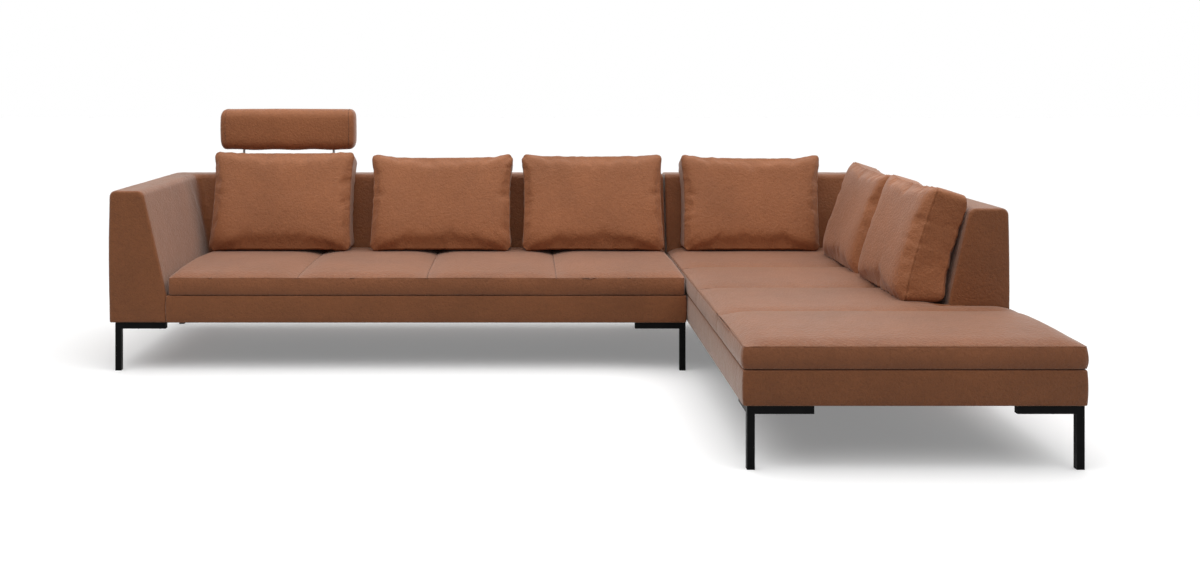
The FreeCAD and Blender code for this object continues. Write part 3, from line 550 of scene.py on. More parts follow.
def wall_shell(name, first_end, second_end, place, seed):
    """A wall that runs from first_end to a corner and on to second_end.

    place(a, b, z) turns the distances from the first leg's and the second leg's outer faces, and the
    height, into a point. first_end and second_end are the legs' lengths along b and along a.
    """
    loops, turn, end = [], WALL_CORNER, WALL_END_RADIUS

    def add_loop(section, path):
        loops.append([place(*path(depth, depth + wall_bulge(depth, z)), z) for depth, z in section])

    for angle in steps(0.0, math.pi / 2, math.pi / 8):
        along = first_end - end * (1 - math.cos(angle))
        add_loop(wall_section(end * (1 - math.sin(angle))), lambda depth, full: (full, along))
    section, start, stop = wall_section(0.0), first_end - end, second_end - end
    for share in steps(0.0, 1.0, WALL_PITCH / (first_end - WALL_FOOT))[1:]:
        add_loop(section, lambda depth, full: (full, start + (depth + turn - first_end + end) * share))
    for angle in steps(0.0, math.pi / 2, math.pi / 12)[1:]:
        over_a, over_b = turn * (1 - math.cos(angle)), turn * (1 - math.sin(angle))
        add_loop(section, lambda depth, full: (full + over_a, full + over_b))
    for share in steps(0.0, 1.0, WALL_PITCH / (second_end - WALL_FOOT))[1:]:
        add_loop(section, lambda depth, full: (depth + turn + (stop - depth - turn) * share, full))
    for angle in steps(math.pi / 2, 0.0, math.pi / 8)[1:]:
        along = second_end - end * (1 - math.cos(angle))
        add_loop(wall_section(end * (1 - math.sin(angle))), lambda depth, full: (along, full))
    shell = looped_solid(name, loops, LEATHER_BODY_PAINTED_SHADE, WALL_CAP_RINGS, WALL_CAP_BULGE)
    soften_wall(shell, place, seed)
    return shell


def soften_wall(shell, place, seed):
    """Slight unevenness all over, and soft upright folds where the leather turns the inner corner."""
    points, out = coordinates(shell.data), normals(shell.data)
    corner = Vector(place(WALL_FOOT * 0.85, WALL_FOOT * 0.85, 0.0))
    even = 0.0009 * wave_noise(points, 5.0, seed) + 0.0004 * wave_noise(points, 17.0, seed + 1)
    distance = np.hypot(points[:, 0] - corner.x, points[:, 1] - corner.y)
    near_corner = np.exp(-((distance / 0.17) ** 2)) * np.clip((points[:, 2] - BASE_TOP) / 0.15, 0, 1)
    stretched = np.column_stack((points[:, 0] * 26, points[:, 1] * 26, points[:, 2] * 4.5))
    folds = 0.0042 * wave_noise(stretched, 1.0, seed + 2)
    resting = points[:, 2] < BASE_BOTTOM + 0.004
    shift = np.where(resting, 0.0, even + near_corner * folds)
    move_points(shell.data, points + out * shift[:, None])


def build_walls():
    """Both wall covers."""
    first = (REAR - MAIN_FRONT, MAIN_RIGHT - LEFT)
    main = wall_shell("main_wall_cover", *first, lambda a, b, z: (LEFT + a, REAR - b, z), 3.0)
    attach(main, "sofa")
    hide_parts("left_arm_upholstery", "main_back_upholstery")
    second = (REAR - SIDE_FRONT, RIGHT - END_LEFT)
    end = wall_shell("end_wall_cover", *second, lambda a, b, z: (RIGHT - a, REAR - b, z), 11.0)
    end.data.flip_normals()
    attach(end, "sofa")
    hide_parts("corner_back_upholstery", "side_back_upholstery")


# Soft pieces


def box_grid(xs, ys, zs):
    """Points and outward faces of a box's surface, on a grid through the given places."""
    index, points, faces = {}, [], []

    def at(i, j, k):
        if (i, j, k) not in index:
            index[(i, j, k)] = len(points)
            points.append((xs[i], ys[j], zs[k]))
        return index[(i, j, k)]

    nx, ny, nz = len(xs) - 1, len(ys) - 1, len(zs) - 1
    for i in range(nx):
        for j in range(ny):
            faces.append((at(i, j, 0), at(i, j + 1, 0), at(i + 1, j + 1, 0), at(i + 1, j, 0)))
            faces.append((at(i, j, nz), at(i + 1, j, nz), at(i + 1, j + 1, nz), at(i, j + 1, nz)))
        for k in range(nz):
            faces.append((at(i, 0, k), at(i + 1, 0, k), at(i + 1, 0, k + 1), at(i, 0, k + 1)))
            faces.append((at(i, ny, k), at(i, ny, k + 1), at(i + 1, ny, k + 1), at(i + 1, ny, k)))
    for j in range(ny):
        for k in range(nz):
            faces.append((at(0, j, k), at(0, j, k + 1), at(0, j + 1, k + 1), at(0, j + 1, k)))
            faces.append((at(nx, j, k), at(nx, j + 1, k), at(nx, j + 1, k + 1), at(nx, j, k + 1)))
    return np.array(points), faces


def round_corner(a, b, corner_a, corner_b, radius):
    """Moves the points near one corner of a flat outline onto a rounded corner. a and b are its two axes."""
    side_a, side_b = np.sign(corner_a - np.mean(a)), np.sign(corner_b - np.mean(b))
    centre_a, centre_b = corner_a - side_a * radius, corner_b - side_b * radius
    beyond_a, beyond_b = (a - centre_a) * side_a, (b - centre_b) * side_b
    inside = (beyond_a > 0) & (beyond_b > 0)
    length = np.maximum(np.hypot(beyond_a, beyond_b), 1e-9)
    share = np.where(inside, np.maximum(beyond_a, beyond_b) / length, 1.0)
    new_a = np.where(inside, centre_a + side_a * beyond_a * share, a)
    return new_a, np.where(inside, centre_b + side_b * beyond_b * share, b)


def fold(points, out, a, b, start, angle, length, width, depth):
    """Presses one soft fold with a raised bank on each side. a and b are the panel's two axes."""
    along = (a - start[0]) * math.cos(angle) + (b - start[1]) * math.sin(angle)
    across = (b - start[1]) * math.cos(angle) - (a - start[0]) * math.sin(angle)
    share = np.clip(along / length, 0.0, 1.0)
    fade = np.where((along > -width) & (along < length), (1 - share) ** 1.5, 0.0)
    spread = width * (1.0 + 0.8 * share)
    groove, bank_1, bank_2 = (np.exp(-((across / spread + offset) ** 2)) for offset in (0.0, -1.9, 1.9))
    return points + out * (depth * fade * (0.45 * (bank_1 + bank_2) - groove))[:, None]


def keep_rest(piece, rest):
    """Stores each point's place on the flat cut, which later subdivision carries along."""
    layer = piece.data.attributes.new("rest", "FLOAT_VECTOR", "POINT")
    layer.data.foreach_set("vector", np.asarray(rest, dtype=np.float64).ravel())


def rest_of(mesh):
    """Each point's place on the flat cut."""
    return vectors(mesh.attributes["rest"].data, "vector")


def frozen(piece):
    """Replaces a piece's mesh with its shape under its modifiers."""
    depsgraph = bpy.context.evaluated_depsgraph_get()
    mesh = bpy.data.meshes.new_from_object(piece.evaluated_get(depsgraph), depsgraph=depsgraph)
    piece.modifiers.clear()
    old, piece.data = piece.data, mesh
    name = old.name
    bpy.data.meshes.remove(old)
    mesh.name = name
    smooth(mesh)


def subdivided(piece):
    """One step of smooth subdivision."""
    modifier = piece.modifiers.new("smooth", "SUBSURF")
    modifier.levels = modifier.render_levels = 1
    modifier.boundary_smooth = "PRESERVE_CORNERS"
    frozen(piece)


def inflated(pieces, cap):
    """Fills sewn covers with air pressure. No point moves further than cap from the flat cut."""
    scene = bpy.context.scene
    scene.frame_start, scene.frame_end = 1, SIM_FRAMES
    flat = {piece: coordinates(piece.data) for piece in pieces}
    for piece in pieces:
        cloth = piece.modifiers.new("fill", "CLOTH")
        settings = cloth.settings
        settings.quality = 5
        settings.mass = 0.35
        settings.tension_stiffness = settings.compression_stiffness = 22.0
        settings.shear_stiffness = 8.0
        settings.bending_stiffness = 0.35
        settings.tension_damping = settings.compression_damping = 8.0
        settings.use_pressure = True
        settings.uniform_pressure_force = PRESSURE
        settings.effector_weights.gravity = 0.0
        settings.shrink_min = -0.012
        cloth.point_cache.frame_start, cloth.point_cache.frame_end = 1, SIM_FRAMES
    for number in range(1, SIM_FRAMES + 1):
        scene.frame_set(number)
    for piece in pieces:
        frozen(piece)
        shift = coordinates(piece.data) - flat[piece]
        length = np.linalg.norm(shift, axis=1, keepdims=True)
        kept = cap * np.tanh(length / cap) / np.maximum(length, 1e-9)
        move_points(piece.data, flat[piece] + shift * kept)
    scene.frame_set(1)


# Back cushions

CUSHIONS = ["back_cushion_%d" % (i + 1) for i in range(6)]
# How much of the filling's dip stays in each cushion's top edge.
TOP_DIPS = [0.15, 1.0, 0.45, 0.9, 0.6, 0.6]
# How far the low left, low right, top left and top right corners sit off their places, in millimetres.
ASKEW = [
    ((-3, 0), (-10, 0), (-3, 0), (-12, 0)),
    ((0, 0), (0, 0), (0, 0), (6, 0)),
    ((0, 0), (0, 0), (0, 0), (0, 0)),
    ((-7, 0), (-36, 0), (0, 0), (-4, -4)),
    ((0, 0), (8, 0), (0, 4), (8, -12)),
    ((24, 0), (40, 0), (12, -6), (24, -8)),
]
# Folds of each cushion's front panel: (side, up, angle in degrees, length, width, depth). side runs from
# -1 to 1 across the panel and up from 0 to 1, and sizes are in millimetres.
FOLDS = {
    0: [(-0.45, 1.0, -88, 90, 9, 1.4), (-0.2, 1.0, -93, 110, 10, 1.6), (0.1, 1.0, -86, 80, 9, 1.3),
        (0.62, 1.0, -95, 75, 8, 1.2), (-0.97, 0.02, 40, 110, 9, 2.6), (0.97, 0.03, 142, 90, 8, 2.0)],
    1: [(0.98, 0.97, -138, 80, 9, 4.0), (0.99, 0.86, -160, 60, 7, 2.6), (-0.98, 0.55, -12, 70, 8, 1.8),
        (-0.5, 0.0, 62, 120, 10, 2.4), (0.05, 0.0, 100, 110, 11, 2.2), (-0.96, 0.03, 38, 120, 9, 2.8),
        (0.96, 0.03, 140, 110, 9, 2.6)],
    2: [(-0.98, 0.97, -42, 90, 10, 4.2), (-0.99, 0.84, -20, 70, 8, 2.6), (0.3, 0.0, 70, 110, 11, 2.2),
        (-0.97, 0.03, 44, 120, 9, 2.8), (0.95, 0.03, 136, 100, 9, 2.4)],
    3: [(-0.99, 0.40, -8, 80, 7, 2.0), (-0.99, 0.30, 6, 90, 8, 2.4), (-0.97, 0.04, 38, 120, 9, 2.8),
        (0.97, 0.04, 140, 130, 9, 2.6), (0.45, 0.0, 112, 120, 11, 2.0)],
    4: [(-0.98, 0.55, 5, 150, 11, 3.2), (-0.98, 0.72, -14, 160, 12, 3.4), (-0.98, 0.38, 12, 140, 11, 3.0),
        (0.97, 0.03, 140, 120, 9, 2.6), (-0.97, 0.03, 42, 120, 9, 2.6)],
    5: [(-0.98, 0.60, -4, 140, 11, 3.0), (-0.98, 0.45, 8, 150, 12, 3.2), (-0.98, 0.80, -18, 120, 10, 2.8),
        (0.97, 0.04, 138, 120, 9, 2.6), (-0.97, 0.03, 40, 110, 9, 2.6), (0.98, 0.5, 176, 90, 9, 2.0)],
}


def cushion_flat(width, height):
    """A cushion's flat cut: front and back panels joined by a gusset, with its foot cut level.

    Returns the square cut, which the seams are found on, the cut with rounded corners, and the faces.
    """
    xs = steps(-width / 2, width / 2, CUSHION_GRID)
    ys = steps(0.0, CUSHION_DEPTH, CUSHION_GRID)
    zs = steps(0.0, 1.0, CUSHION_GRID / height)
    points, faces = box_grid(xs, ys, zs)
    foot = points[:, 1] * math.tan(LEAN)
    points[:, 2] = foot + (height - foot) * points[:, 2]
    rounded = points.copy()
    for side in (-1, 1):
        x, z = rounded[:, 0], rounded[:, 2]
        x, z = round_corner(x, z, side * width / 2, height, CUSHION_CORNER)
        lifted = z - foot
        x, lifted = round_corner(x, lifted, side * width / 2, 0.0, 0.7 * CUSHION_CORNER)
        rounded[:, 0], rounded[:, 2] = x, lifted + foot
    return points, rounded, faces


def seam_distance(rest, width, height):
    """How far each point of a cushion's cut is from the nearer panel seam, and how far along that seam."""
    foot = rest[:, 1] * math.tan(LEAN)
    to_side = width / 2 - np.abs(rest[:, 0])
    to_end = np.minimum(height - rest[:, 2], rest[:, 2] - foot)
    across = np.minimum(rest[:, 1], CUSHION_DEPTH - rest[:, 1])
    on_panel = np.minimum(to_side, to_end)
    distance = np.where(across < NEAR, on_panel, across)
    along = np.where(to_side < to_end, rest[:, 2] + 3.0, rest[:, 0])
    return distance, along


def pucker(points, out, distance, along, seed, size=0.0011, reach=0.024, pitch=0.030):
    """Short gathers that run out from a seam."""
    shift = Vector((seed * 5.1, seed * 2.3, 0.0))
    wave = np.array(
        [noise.noise(Vector((a / pitch, d / 0.10, 0.0)) + shift) for a, d in zip(along, distance)]
    )
    patch = np.array([noise.noise(Vector((a * 4.0, 7.0, 0.0)) + shift) for a in along])
    fall = np.exp(-distance / reach) * np.clip(0.65 + 1.1 * patch, 0.05, 1.4)
    return points + out * (size * 2.0 * wave * fall)[:, None]


def sewn(piece, is_seam, width, depth, lip):
    """Presses a narrow groove along the seam edges, with its banks raised by lip."""
    mesh = bmesh.new()
    mesh.from_mesh(piece.data)
    layer = mesh.verts.layers.float_vector["rest"]
    edges = [e for e in mesh.edges if is_seam(e.verts[0][layer]) and is_seam(e.verts[1][layer])]
    made = bmesh.ops.bevel(
        mesh, geom=edges, offset=width, offset_type="OFFSET", segments=2, profile=0.5, affect="EDGES"
    )
    mesh.normal_update()
    ribbon = set(made["faces"])
    for vertex in made["verts"]:
        if vertex.is_valid:
            inner = all(face in ribbon for face in vertex.link_faces)
            vertex.co += vertex.normal * (-depth if inner else lip)
    mesh.to_mesh(piece.data)
    mesh.free()
    smooth(piece.data)


def build_cushions():
    """Six loose cushions, cut flat, filled, sewn, then leaned on the walls."""
    rows = []
    for number, node in enumerate(CUSHIONS):
        first, last = low(node), high(node)
        sideways = number >= 4
        width = last.y - first.y if sideways else last.x - first.x
        height = (last.z - first.z) / math.cos(LEAN)
        square, rounded, faces = cushion_flat(width * CUT, height * CUT)
        piece = new_piece(node + "_cover", rounded, faces, LEATHER_CUSHION_PAINTED_LIGHT)
        keep_rest(piece, square)
        rows.append((piece, node, width, height, sideways, first, last))
    inflated([row[0] for row in rows], CUSHION_CAP)
    for number, (piece, node, width, height, sideways, first, last) in enumerate(rows):
        shape_cushion(piece, number, width, height)
        place_cushion(piece, node, sideways, first, last)
        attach(piece, "cushion_%d" % (number + 1))
        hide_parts(node)


def settled(points, rest, number, width, height):
    """Lets a filled cushion settle: straight foot, fuller low down, and its top edge and gusset as sewn."""
    share = np.clip(points[:, 2] / height, 0, 1)
    out_to_side = np.clip(np.abs(2 * points[:, 0] / width), 0, 1)
    across = 1 + out_to_side**2 - 2 * out_to_side**6
    front = np.clip(1 - rest[:, 1] / CUSHION_DEPTH, 0, 1)
    points[:, 1] -= CUSHION_BELLY * across * front * np.sin(math.pi * share**0.55)
    points[:, 1] += CUSHION_RIM * (1 - front) * (1 - across)
    on_front = rest[:, 1] < NEAR
    tall = rest[:, 2].max()
    for level, near, power, kept in ((0.0, 1 - share, 3.0, 0.0), (tall, share, 4.0, TOP_DIPS[number])):
        seam = points[on_front & (np.abs(rest[:, 2] - level) < NEAR)]
        seam = seam[np.argsort(seam[:, 0])]
        seam = seam[np.abs(seam[:, 0]) < width / 2 - CUSHION_CORNER]
        target = max(seam[0, 2], seam[-1, 2]) if level else 0.0
        gap = (1 - kept) * (target - np.interp(points[:, 0], seam[:, 0], seam[:, 2]))
        fade = np.clip((width / 2 - np.abs(points[:, 0])) / CUSHION_CORNER, 0, 1)
        points[:, 2] += gap * fade * near**power
    for side in (-1, 1):
        seam = points[on_front & (side * rest[:, 0] > width / 2)]
        seam = seam[np.argsort(seam[:, 2])]
        edge = np.interp(points[:, 2], seam[:, 2], np.abs(seam[:, 0]))
        over = np.where(points[:, 0] * side > 0, np.abs(points[:, 0]) - edge, 0.0)
        points[:, 0] -= side * (0.30 if number >= 4 else 0.60) * np.maximum(over, 0.0)
    return points


def warped(points, number, width, height):
    """Skews a cushion by its corners' own offsets, as loose cushions sit a little askew."""
    u, v = points[:, 0] / width + 0.5, np.clip(points[:, 2] / height, 0, 1)
    shares = ((1 - u) * (1 - v), u * (1 - v), (1 - u) * v, u * v)
    for share, (right, up) in zip(shares, ASKEW[number]):
        points[:, 0] += share * right / 1000
        points[:, 2] += share * up / 1000
    return points


def shape_cushion(piece, number, width, height):
    """Subdivides a filled cushion, fits it to its size, and adds folds, gathers and seams."""
    subdivided(piece)
    points, rest = coordinates(piece.data), rest_of(piece.data)
    wide, tall = width * CUT, height * CUT
    front = rest[:, 1] < NEAR
    points[:, 0] *= (width / 2) / np.abs(points[front, 0]).max()
    points[:, 2] *= (height - 0.004) / points[front, 2].max()
    points = warped(settled(points, rest, number, width, height), number, width, height)
    move_points(piece.data, points)
    out = normals(piece.data)
    distance, along = seam_distance(rest, wide, tall)
    size = 0.0026 if number >= 4 else 0.0021
    points = pucker(points, out, distance, along, 3.0 + number, size)
    for side, up, angle, length, breadth, depth in FOLDS[number]:
        start = (side * width / 2, up * height)
        sizes = (length / 1000, breadth / 1000, depth / 1000)
        made = fold(points, out, points[:, 0], points[:, 2], start, math.radians(angle), *sizes)
        points = np.where((rest[:, 1] < 0.02)[:, None], made, points)
    points += out * (0.0018 * wave_noise(points, 7.0, 20.0 + number))[:, None]
    move_points(piece.data, points)

    def is_seam(place):
        on_panel = place[1] < NEAR or place[1] > CUSHION_DEPTH - NEAR
        foot = place[1] * math.tan(LEAN)
        side = abs(abs(place[0]) - wide / 2) < NEAR
        end = abs(place[2] - tall) < NEAR or abs(place[2] - foot) < NEAR
        return on_panel and (side or end)

    sewn(piece, is_seam, *CUSHION_GROOVE)


def place_cushion(piece, node, sideways, first, last):
    """Leans a cushion back and stands it in its node's place, flat on the seat and against the wall."""
    points = coordinates(piece.data)
    deep = points[:, 1] * math.cos(LEAN) + points[:, 2] * math.sin(LEAN)
    tall = points[:, 2] * math.cos(LEAN) - points[:, 1] * math.sin(LEAN)
    foot = first.z + CLEAR - (SIDE_CUSHION_SINK if sideways else 0.0)
    tall = np.maximum(tall, 0.0) + foot
    face = RIGHT - SIDE_SWELL if sideways else REAR
    start = first.x if sideways else first.y
    wall = WALL_TOP + np.clip((FRAME_TOP - tall) / (FRAME_TOP - BASE_TOP), 0, 1) * (WALL_FOOT - WALL_TOP)
    deep = np.minimum(deep + start, face - wall - 3 * CLEAR)
    middle = (first + last) / 2
    if sideways:
        made = np.column_stack((deep, middle.y - points[:, 0], tall))
    else:
        made = np.column_stack((middle.x + points[:, 0], deep, tall))
    move_points(piece.data, made)


# Headrest


def build_headrest():
    """The headrest's cover: one barrel-shaped wrap with a seamed panel at each end."""
    first, last = low("headrest_pad"), high("headrest_pad")
    middle, half = (first + last) / 2, (last - first) / 2
    seam = half.x - HEADREST_SEAM
    points, faces = box_grid(
        graded(-half.x, half.x, 0.012, [-half.x, half.x, -seam, seam], 0.03),
        steps(-half.y, half.y, 0.011),
        steps(-half.z, half.z, 0.011),
    )
    radii = np.array([HEADREST_END, HEADREST_ROUND, HEADREST_ROUND])
    core = np.clip(points, radii - half, np.array(half) - radii)
    out = (points - core) / radii
    length = np.maximum(np.linalg.norm(out, axis=1, keepdims=True), 1e-9)
    reach = np.abs(out).max(axis=1, keepdims=True)
    made = core + out / length * reach * radii
    u, v, w = (made / np.array(half)).T
    made[:, 1] *= 1 - HEADREST_TAPER * np.abs(w) ** 2.6
    made[:, 2] *= 1 - 0.018 * np.abs(u) ** 3 - 0.02 * np.abs(v) ** 2
    made[:, 0] *= 1 - 0.010 * w**2
    made[:, 2] -= np.clip(-w, 0, 1) * (HEADREST_SAG + 0.0016 * np.sin(11.0 * u + 0.6))
    piece = new_piece("headrest_cover", made + np.array(middle), faces, LEATHER_CUSHION_PAINTED_LIGHT)
    keep_rest(piece, points)
    subdivided(piece)
    shape, out, rest = coordinates(piece.data), normals(piece.data), rest_of(piece.data)
    to_seam = np.abs(np.abs(rest[:, 0]) - seam)
    shape = pucker(shape, out, to_seam, rest[:, 1] + rest[:, 2], 31.0, 0.0007, 0.016)
    shape += out * (0.0012 * wave_noise(shape, 9.0, 5.0))[:, None]
    move_points(piece.data, shape)
    sewn(piece, lambda place: abs(abs(place[0]) - seam) < NEAR, *HEADREST_GROOVE)
    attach(piece, "headrest_head")
    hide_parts("headrest_pad")


# Seat pads


def pad_crown(distance, reach, power=3.0):
    """A crown's share from 0 at a seam to 1 where the pad is full."""
    return 1 - (1 - np.clip(distance / reach, 0, 1)) ** power


def build_pads():
    """Both channelled seat pads."""
    for name, along_x in (("main_seat_pad", True), ("end_seat_pad", False)):
        build_pad(name, along_x)


def pad_height(x, y, edges, seams, along_x, notch):
    """The crown's share over a pad's top: 0 at the welt, low at the channel seams and full between."""
    x0, x1, y0 = edges
    channel = x if along_x else y
    to_seam = np.min([np.abs(channel - s) for s in seams], axis=0)
    share = 0.25 + 0.75 * pad_crown(to_seam, PAD_SEAM, 2.6)
    front = np.maximum(y - y0, 0.0)
    share = share * (0.55 * pad_crown(front, PAD_EDGE, 2.0) + 0.45 * pad_crown(front, PAD_ROLL, 2.2))
    for distance in (x - x0, x1 - x):
        share = share * pad_crown(np.maximum(distance, 0.0), 0.05 if along_x else PAD_SIDE_ROLL, 3.0)
    if notch:
        to_wall = np.hypot(np.maximum(notch[0] - x, 0.0), np.maximum(notch[1] - y, 0.0))
        share = share * (0.30 + 0.70 * pad_crown(to_wall, 0.11, 3.0))
    swell = np.sin(math.pi * np.clip(front / PAD_SWELL_REACH, 0, 1))
    return share, swell * share


def build_pad(node, along_x):
    """A channelled pad: boxed border, welt, rolled edges and four filled sections."""
    first, last = low(node), high(node)
    bottom, top = first.z, last.z
    welt, bulge = bottom + PAD_BORDER, PAD_BULGE
    x0, x1 = first.x + (0.0 if along_x else bulge), last.x - (0.0 if along_x else bulge - SIDE_SWELL)
    y0, y1 = first.y + bulge, last.y
    start, end = (x0, x1) if along_x else (first.y, y1)
    seams = [start + (end - start) * i / 4 for i in range(1, 4)]
    notch = None if along_x else (SIDE_FACE - PAD_NOTCH_GAP, SIDE_FRONT - PAD_NOTCH_GAP)
    xs = graded(x0, x1, PAD_GRID, [x0, x1] + (seams if along_x else []))
    ys = graded(y0, y1, PAD_GRID, [y0, y1] + ([] if along_x else sorted(seams + [notch[1]])))
    zs = graded(bottom, welt, PAD_GRID, [bottom, welt], 0.02)
    rest, faces = box_grid(xs, ys, zs)
    x, y, z = rest.T
    is_top = z > welt - NEAR
    on_front, on_left, on_right = np.abs(y - y0) < NEAR, np.abs(x - x0) < NEAR, np.abs(x - x1) < NEAR
    for corner in (x0, x1):
        x, y = round_corner(x, y, corner, y0, PAD_CORNER)
    if notch:
        start_x = notch[0] - PAD_ROLL
        beside = (y > notch[1] + NEAR) & (x > start_x)
        x = np.where(beside, start_x + (notch[0] - start_x) * (x - start_x) / (x1 - start_x), x)
    share, swell = pad_height(x, y, (x0, x1, y0), seams, along_x, notch)
    height = np.where(is_top, welt + (top - PAD_SINK - welt) * share + PAD_SWELL * swell, z)
    rise = np.clip((np.minimum(z, welt) - bottom) / (welt - bottom), 0, 1)
    channel = x if along_x else y
    full = pad_crown(np.min([np.abs(channel - s) for s in seams], axis=0), PAD_SEAM)
    side = np.sin(math.pi * rise**0.85) * bulge * (0.45 + 0.55 * full)
    y = y - np.where(on_front, side, 0.0)
    if not along_x:
        free = on_right & (y < notch[1])
        x = x - np.where(on_left, side, 0.0) + np.where(free, side, 0.0)
    piece = new_piece(node + "_cover", np.column_stack((x, y, height)), faces, LEATHER_SEAT)
    keep_rest(piece, rest)
    subdivided(piece)

    def is_welt(place):
        on_side = not along_x and min(abs(place[0] - x0), abs(place[0] - x1)) < NEAR
        return (abs(place[1] - y0) < NEAR or on_side) and abs(place[2] - welt) < NEAR

    def is_channel(place):
        return place[2] > welt - NEAR and min(abs(place[0 if along_x else 1] - s) for s in seams) < NEAR

    wrinkle_pad(piece, along_x, (x0, x1, y0), welt, seams)
    sewn(piece, is_welt, *WELT_GROOVE)
    sewn(piece, is_channel, *CHANNEL_GROOVE)
    line = welt + STITCH_LIFT
    lines = [((x0 + 0.02, y0 + 0.003, line), (x1 - 0.02, y0 + 0.003, line))]
    if not along_x:
        lines.append(((x0 + 0.003, y0 + 0.02, line), (x0 + 0.003, y1 - 0.01, line)))
        lines.append(((x1 - 0.003, y0 + 0.02, line), (x1 - 0.003, notch[1] - 0.01, line)))
    stitched(piece, lines)
    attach(piece, "sofa")
    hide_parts(node)


def wrinkle_pad(piece, along_x, edges, welt, seams):
    """Gathers beside the channel seams and the welt, creases below each seam, and slight unevenness."""
    x0, x1, y0 = edges
    points, out, rest = coordinates(piece.data), normals(piece.data), rest_of(piece.data)
    channel, run = (rest[:, 0], rest[:, 1]) if along_x else (rest[:, 1], rest[:, 0])
    to_seam = np.min([np.abs(channel - s) for s in seams], axis=0)
    on_top = rest[:, 2] > welt - NEAR
    gathered = pucker(points, out, to_seam, run, 41.0, 0.0009, 0.022)
    points = np.where(on_top[:, None], gathered, points)
    reach = rest[:, 1] - y0
    if not along_x:
        reach = np.minimum(np.minimum(rest[:, 0] - x0, x1 - rest[:, 0]), reach)
    below = welt - rest[:, 2]
    border = ~on_top & (reach < NEAR)
    flow = rest[:, 0] if along_x else rest[:, 0] + rest[:, 1]
    tucked = pucker(points, out, np.maximum(below, 0), flow, 43.0, 0.0007, 0.030)
    points = np.where(border[:, None], tucked, points)
    crease = np.exp(-((to_seam / 0.006) ** 2)) * np.exp(-np.maximum(below, 0) / 0.022)
    points -= out * (0.0026 * crease * border)[:, None]
    points += out * (0.0013 * wave_noise(points, 5.0, 47.0) * on_top)[:, None]
    move_points(piece.data, points)


# Stitches and screws


def bars(name, rows, material):
    """Small square bars in one mesh. Each row is (centre, direction, up, length, width, height)."""
    vertices, faces = [], []
    for centre, direction, up, length, width, height in rows:
        direction, up = Vector(direction).normalized(), Vector(up).normalized()
        across = direction.cross(up).normalized()
        first = len(vertices)
        for end in (-0.5, 0.5):
            for side, rise in ((-0.5, 0.0), (0.5, 0.0), (0.3, 1.0), (-0.3, 1.0)):
                place = centre + direction * end * length
                vertices.append(place + across * side * width + up * rise * height)
        faces += bands([first, first + 4], 4)
        faces += [(first + 3, first + 2, first + 1, first), tuple(first + 4 + i for i in range(4))]
    return new_piece(name, vertices, faces, material)


def stitched(piece, lines):
    """A row of stitches just above a pad's welt, laid on its surface. lines are (start, end) pairs."""
    mesh = bmesh.new()
    mesh.from_mesh(piece.data)
    tree = BVHTree.FromBMesh(mesh)
    rows = []
    for start, end in lines:
        start, end = Vector(start), Vector(end)
        count = int((end - start).length / STITCH_PITCH)
        for i in range(count):
            place, normal, *_ = tree.find_nearest(start + (end - start) * (i + 0.5) / count)
            rows.append((place, end - start, normal, STITCH_LENGTH, STITCH_WIDTH, STITCH_HEIGHT))
    mesh.free()
    stitches = bars(piece.name + "_stitches", rows, THREAD)
    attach(stitches, "sofa")


def build_screws():
    """Pan heads below the legs' arms and the joining plates."""
    places = []
    for node in frame["nodes"]:
        if node.startswith("leg_") and node not in ("leg_glides", "leg_end_caps"):
            first, last = low(node), high(node)
            front = "front" in node or "end_" in node
            left = node in ("leg_arm_front", "leg_arm_rear", "leg_corner_inner", "leg_end_inner")
            start_x, way_x = (first.x, 1) if left else (last.x, -1)
            start_y, way_y = (first.y, 1) if front else (last.y, -1)
            span_x, span_y = last.x - first.x, last.y - first.y
            for share in LEG_SCREWS:
                for x, y in ((share * span_x, LEG_TUBE / 2), (LEG_TUBE / 2, share * span_y)):
                    places.append((start_x + way_x * x, start_y + way_y * y, last.z - LEG_TUBE))
    first, last = low("module_joining_plates"), high("module_joining_plates")
    for x in (first.x + 0.015, last.x - 0.015):
        ys = [first.y + y for y in PLATE_SCREWS] + [last.y - y for y in reversed(PLATE_SCREWS)]
        places += [(x, y, first.z) for y in ys]
    vertices, faces = [], []
    for x, y, z in places:
        first = len(vertices)
        rings = [first + SCREW_SIDES * i for i in range(len(SCREW_PROFILE))]
        for radius, drop in SCREW_PROFILE:
            for angle in steps(0.0, 2 * math.pi, 2 * math.pi / SCREW_SIDES)[:-1]:
                vertices.append((x + radius * math.cos(angle), y + radius * math.sin(angle), z - drop))
        faces += [(b, a, d, c) for a, b, c, d in bands(rings, SCREW_SIDES)]
        faces.append(tuple(rings[0] + i for i in range(SCREW_SIDES)))
        faces.append(tuple(rings[-1] + i for i in reversed(range(SCREW_SIDES))))
    screws = new_piece("screw_heads", vertices, faces, SLOT_MATERIALS["zinc_steel"])
    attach(screws, "sofa")


# Seat bases


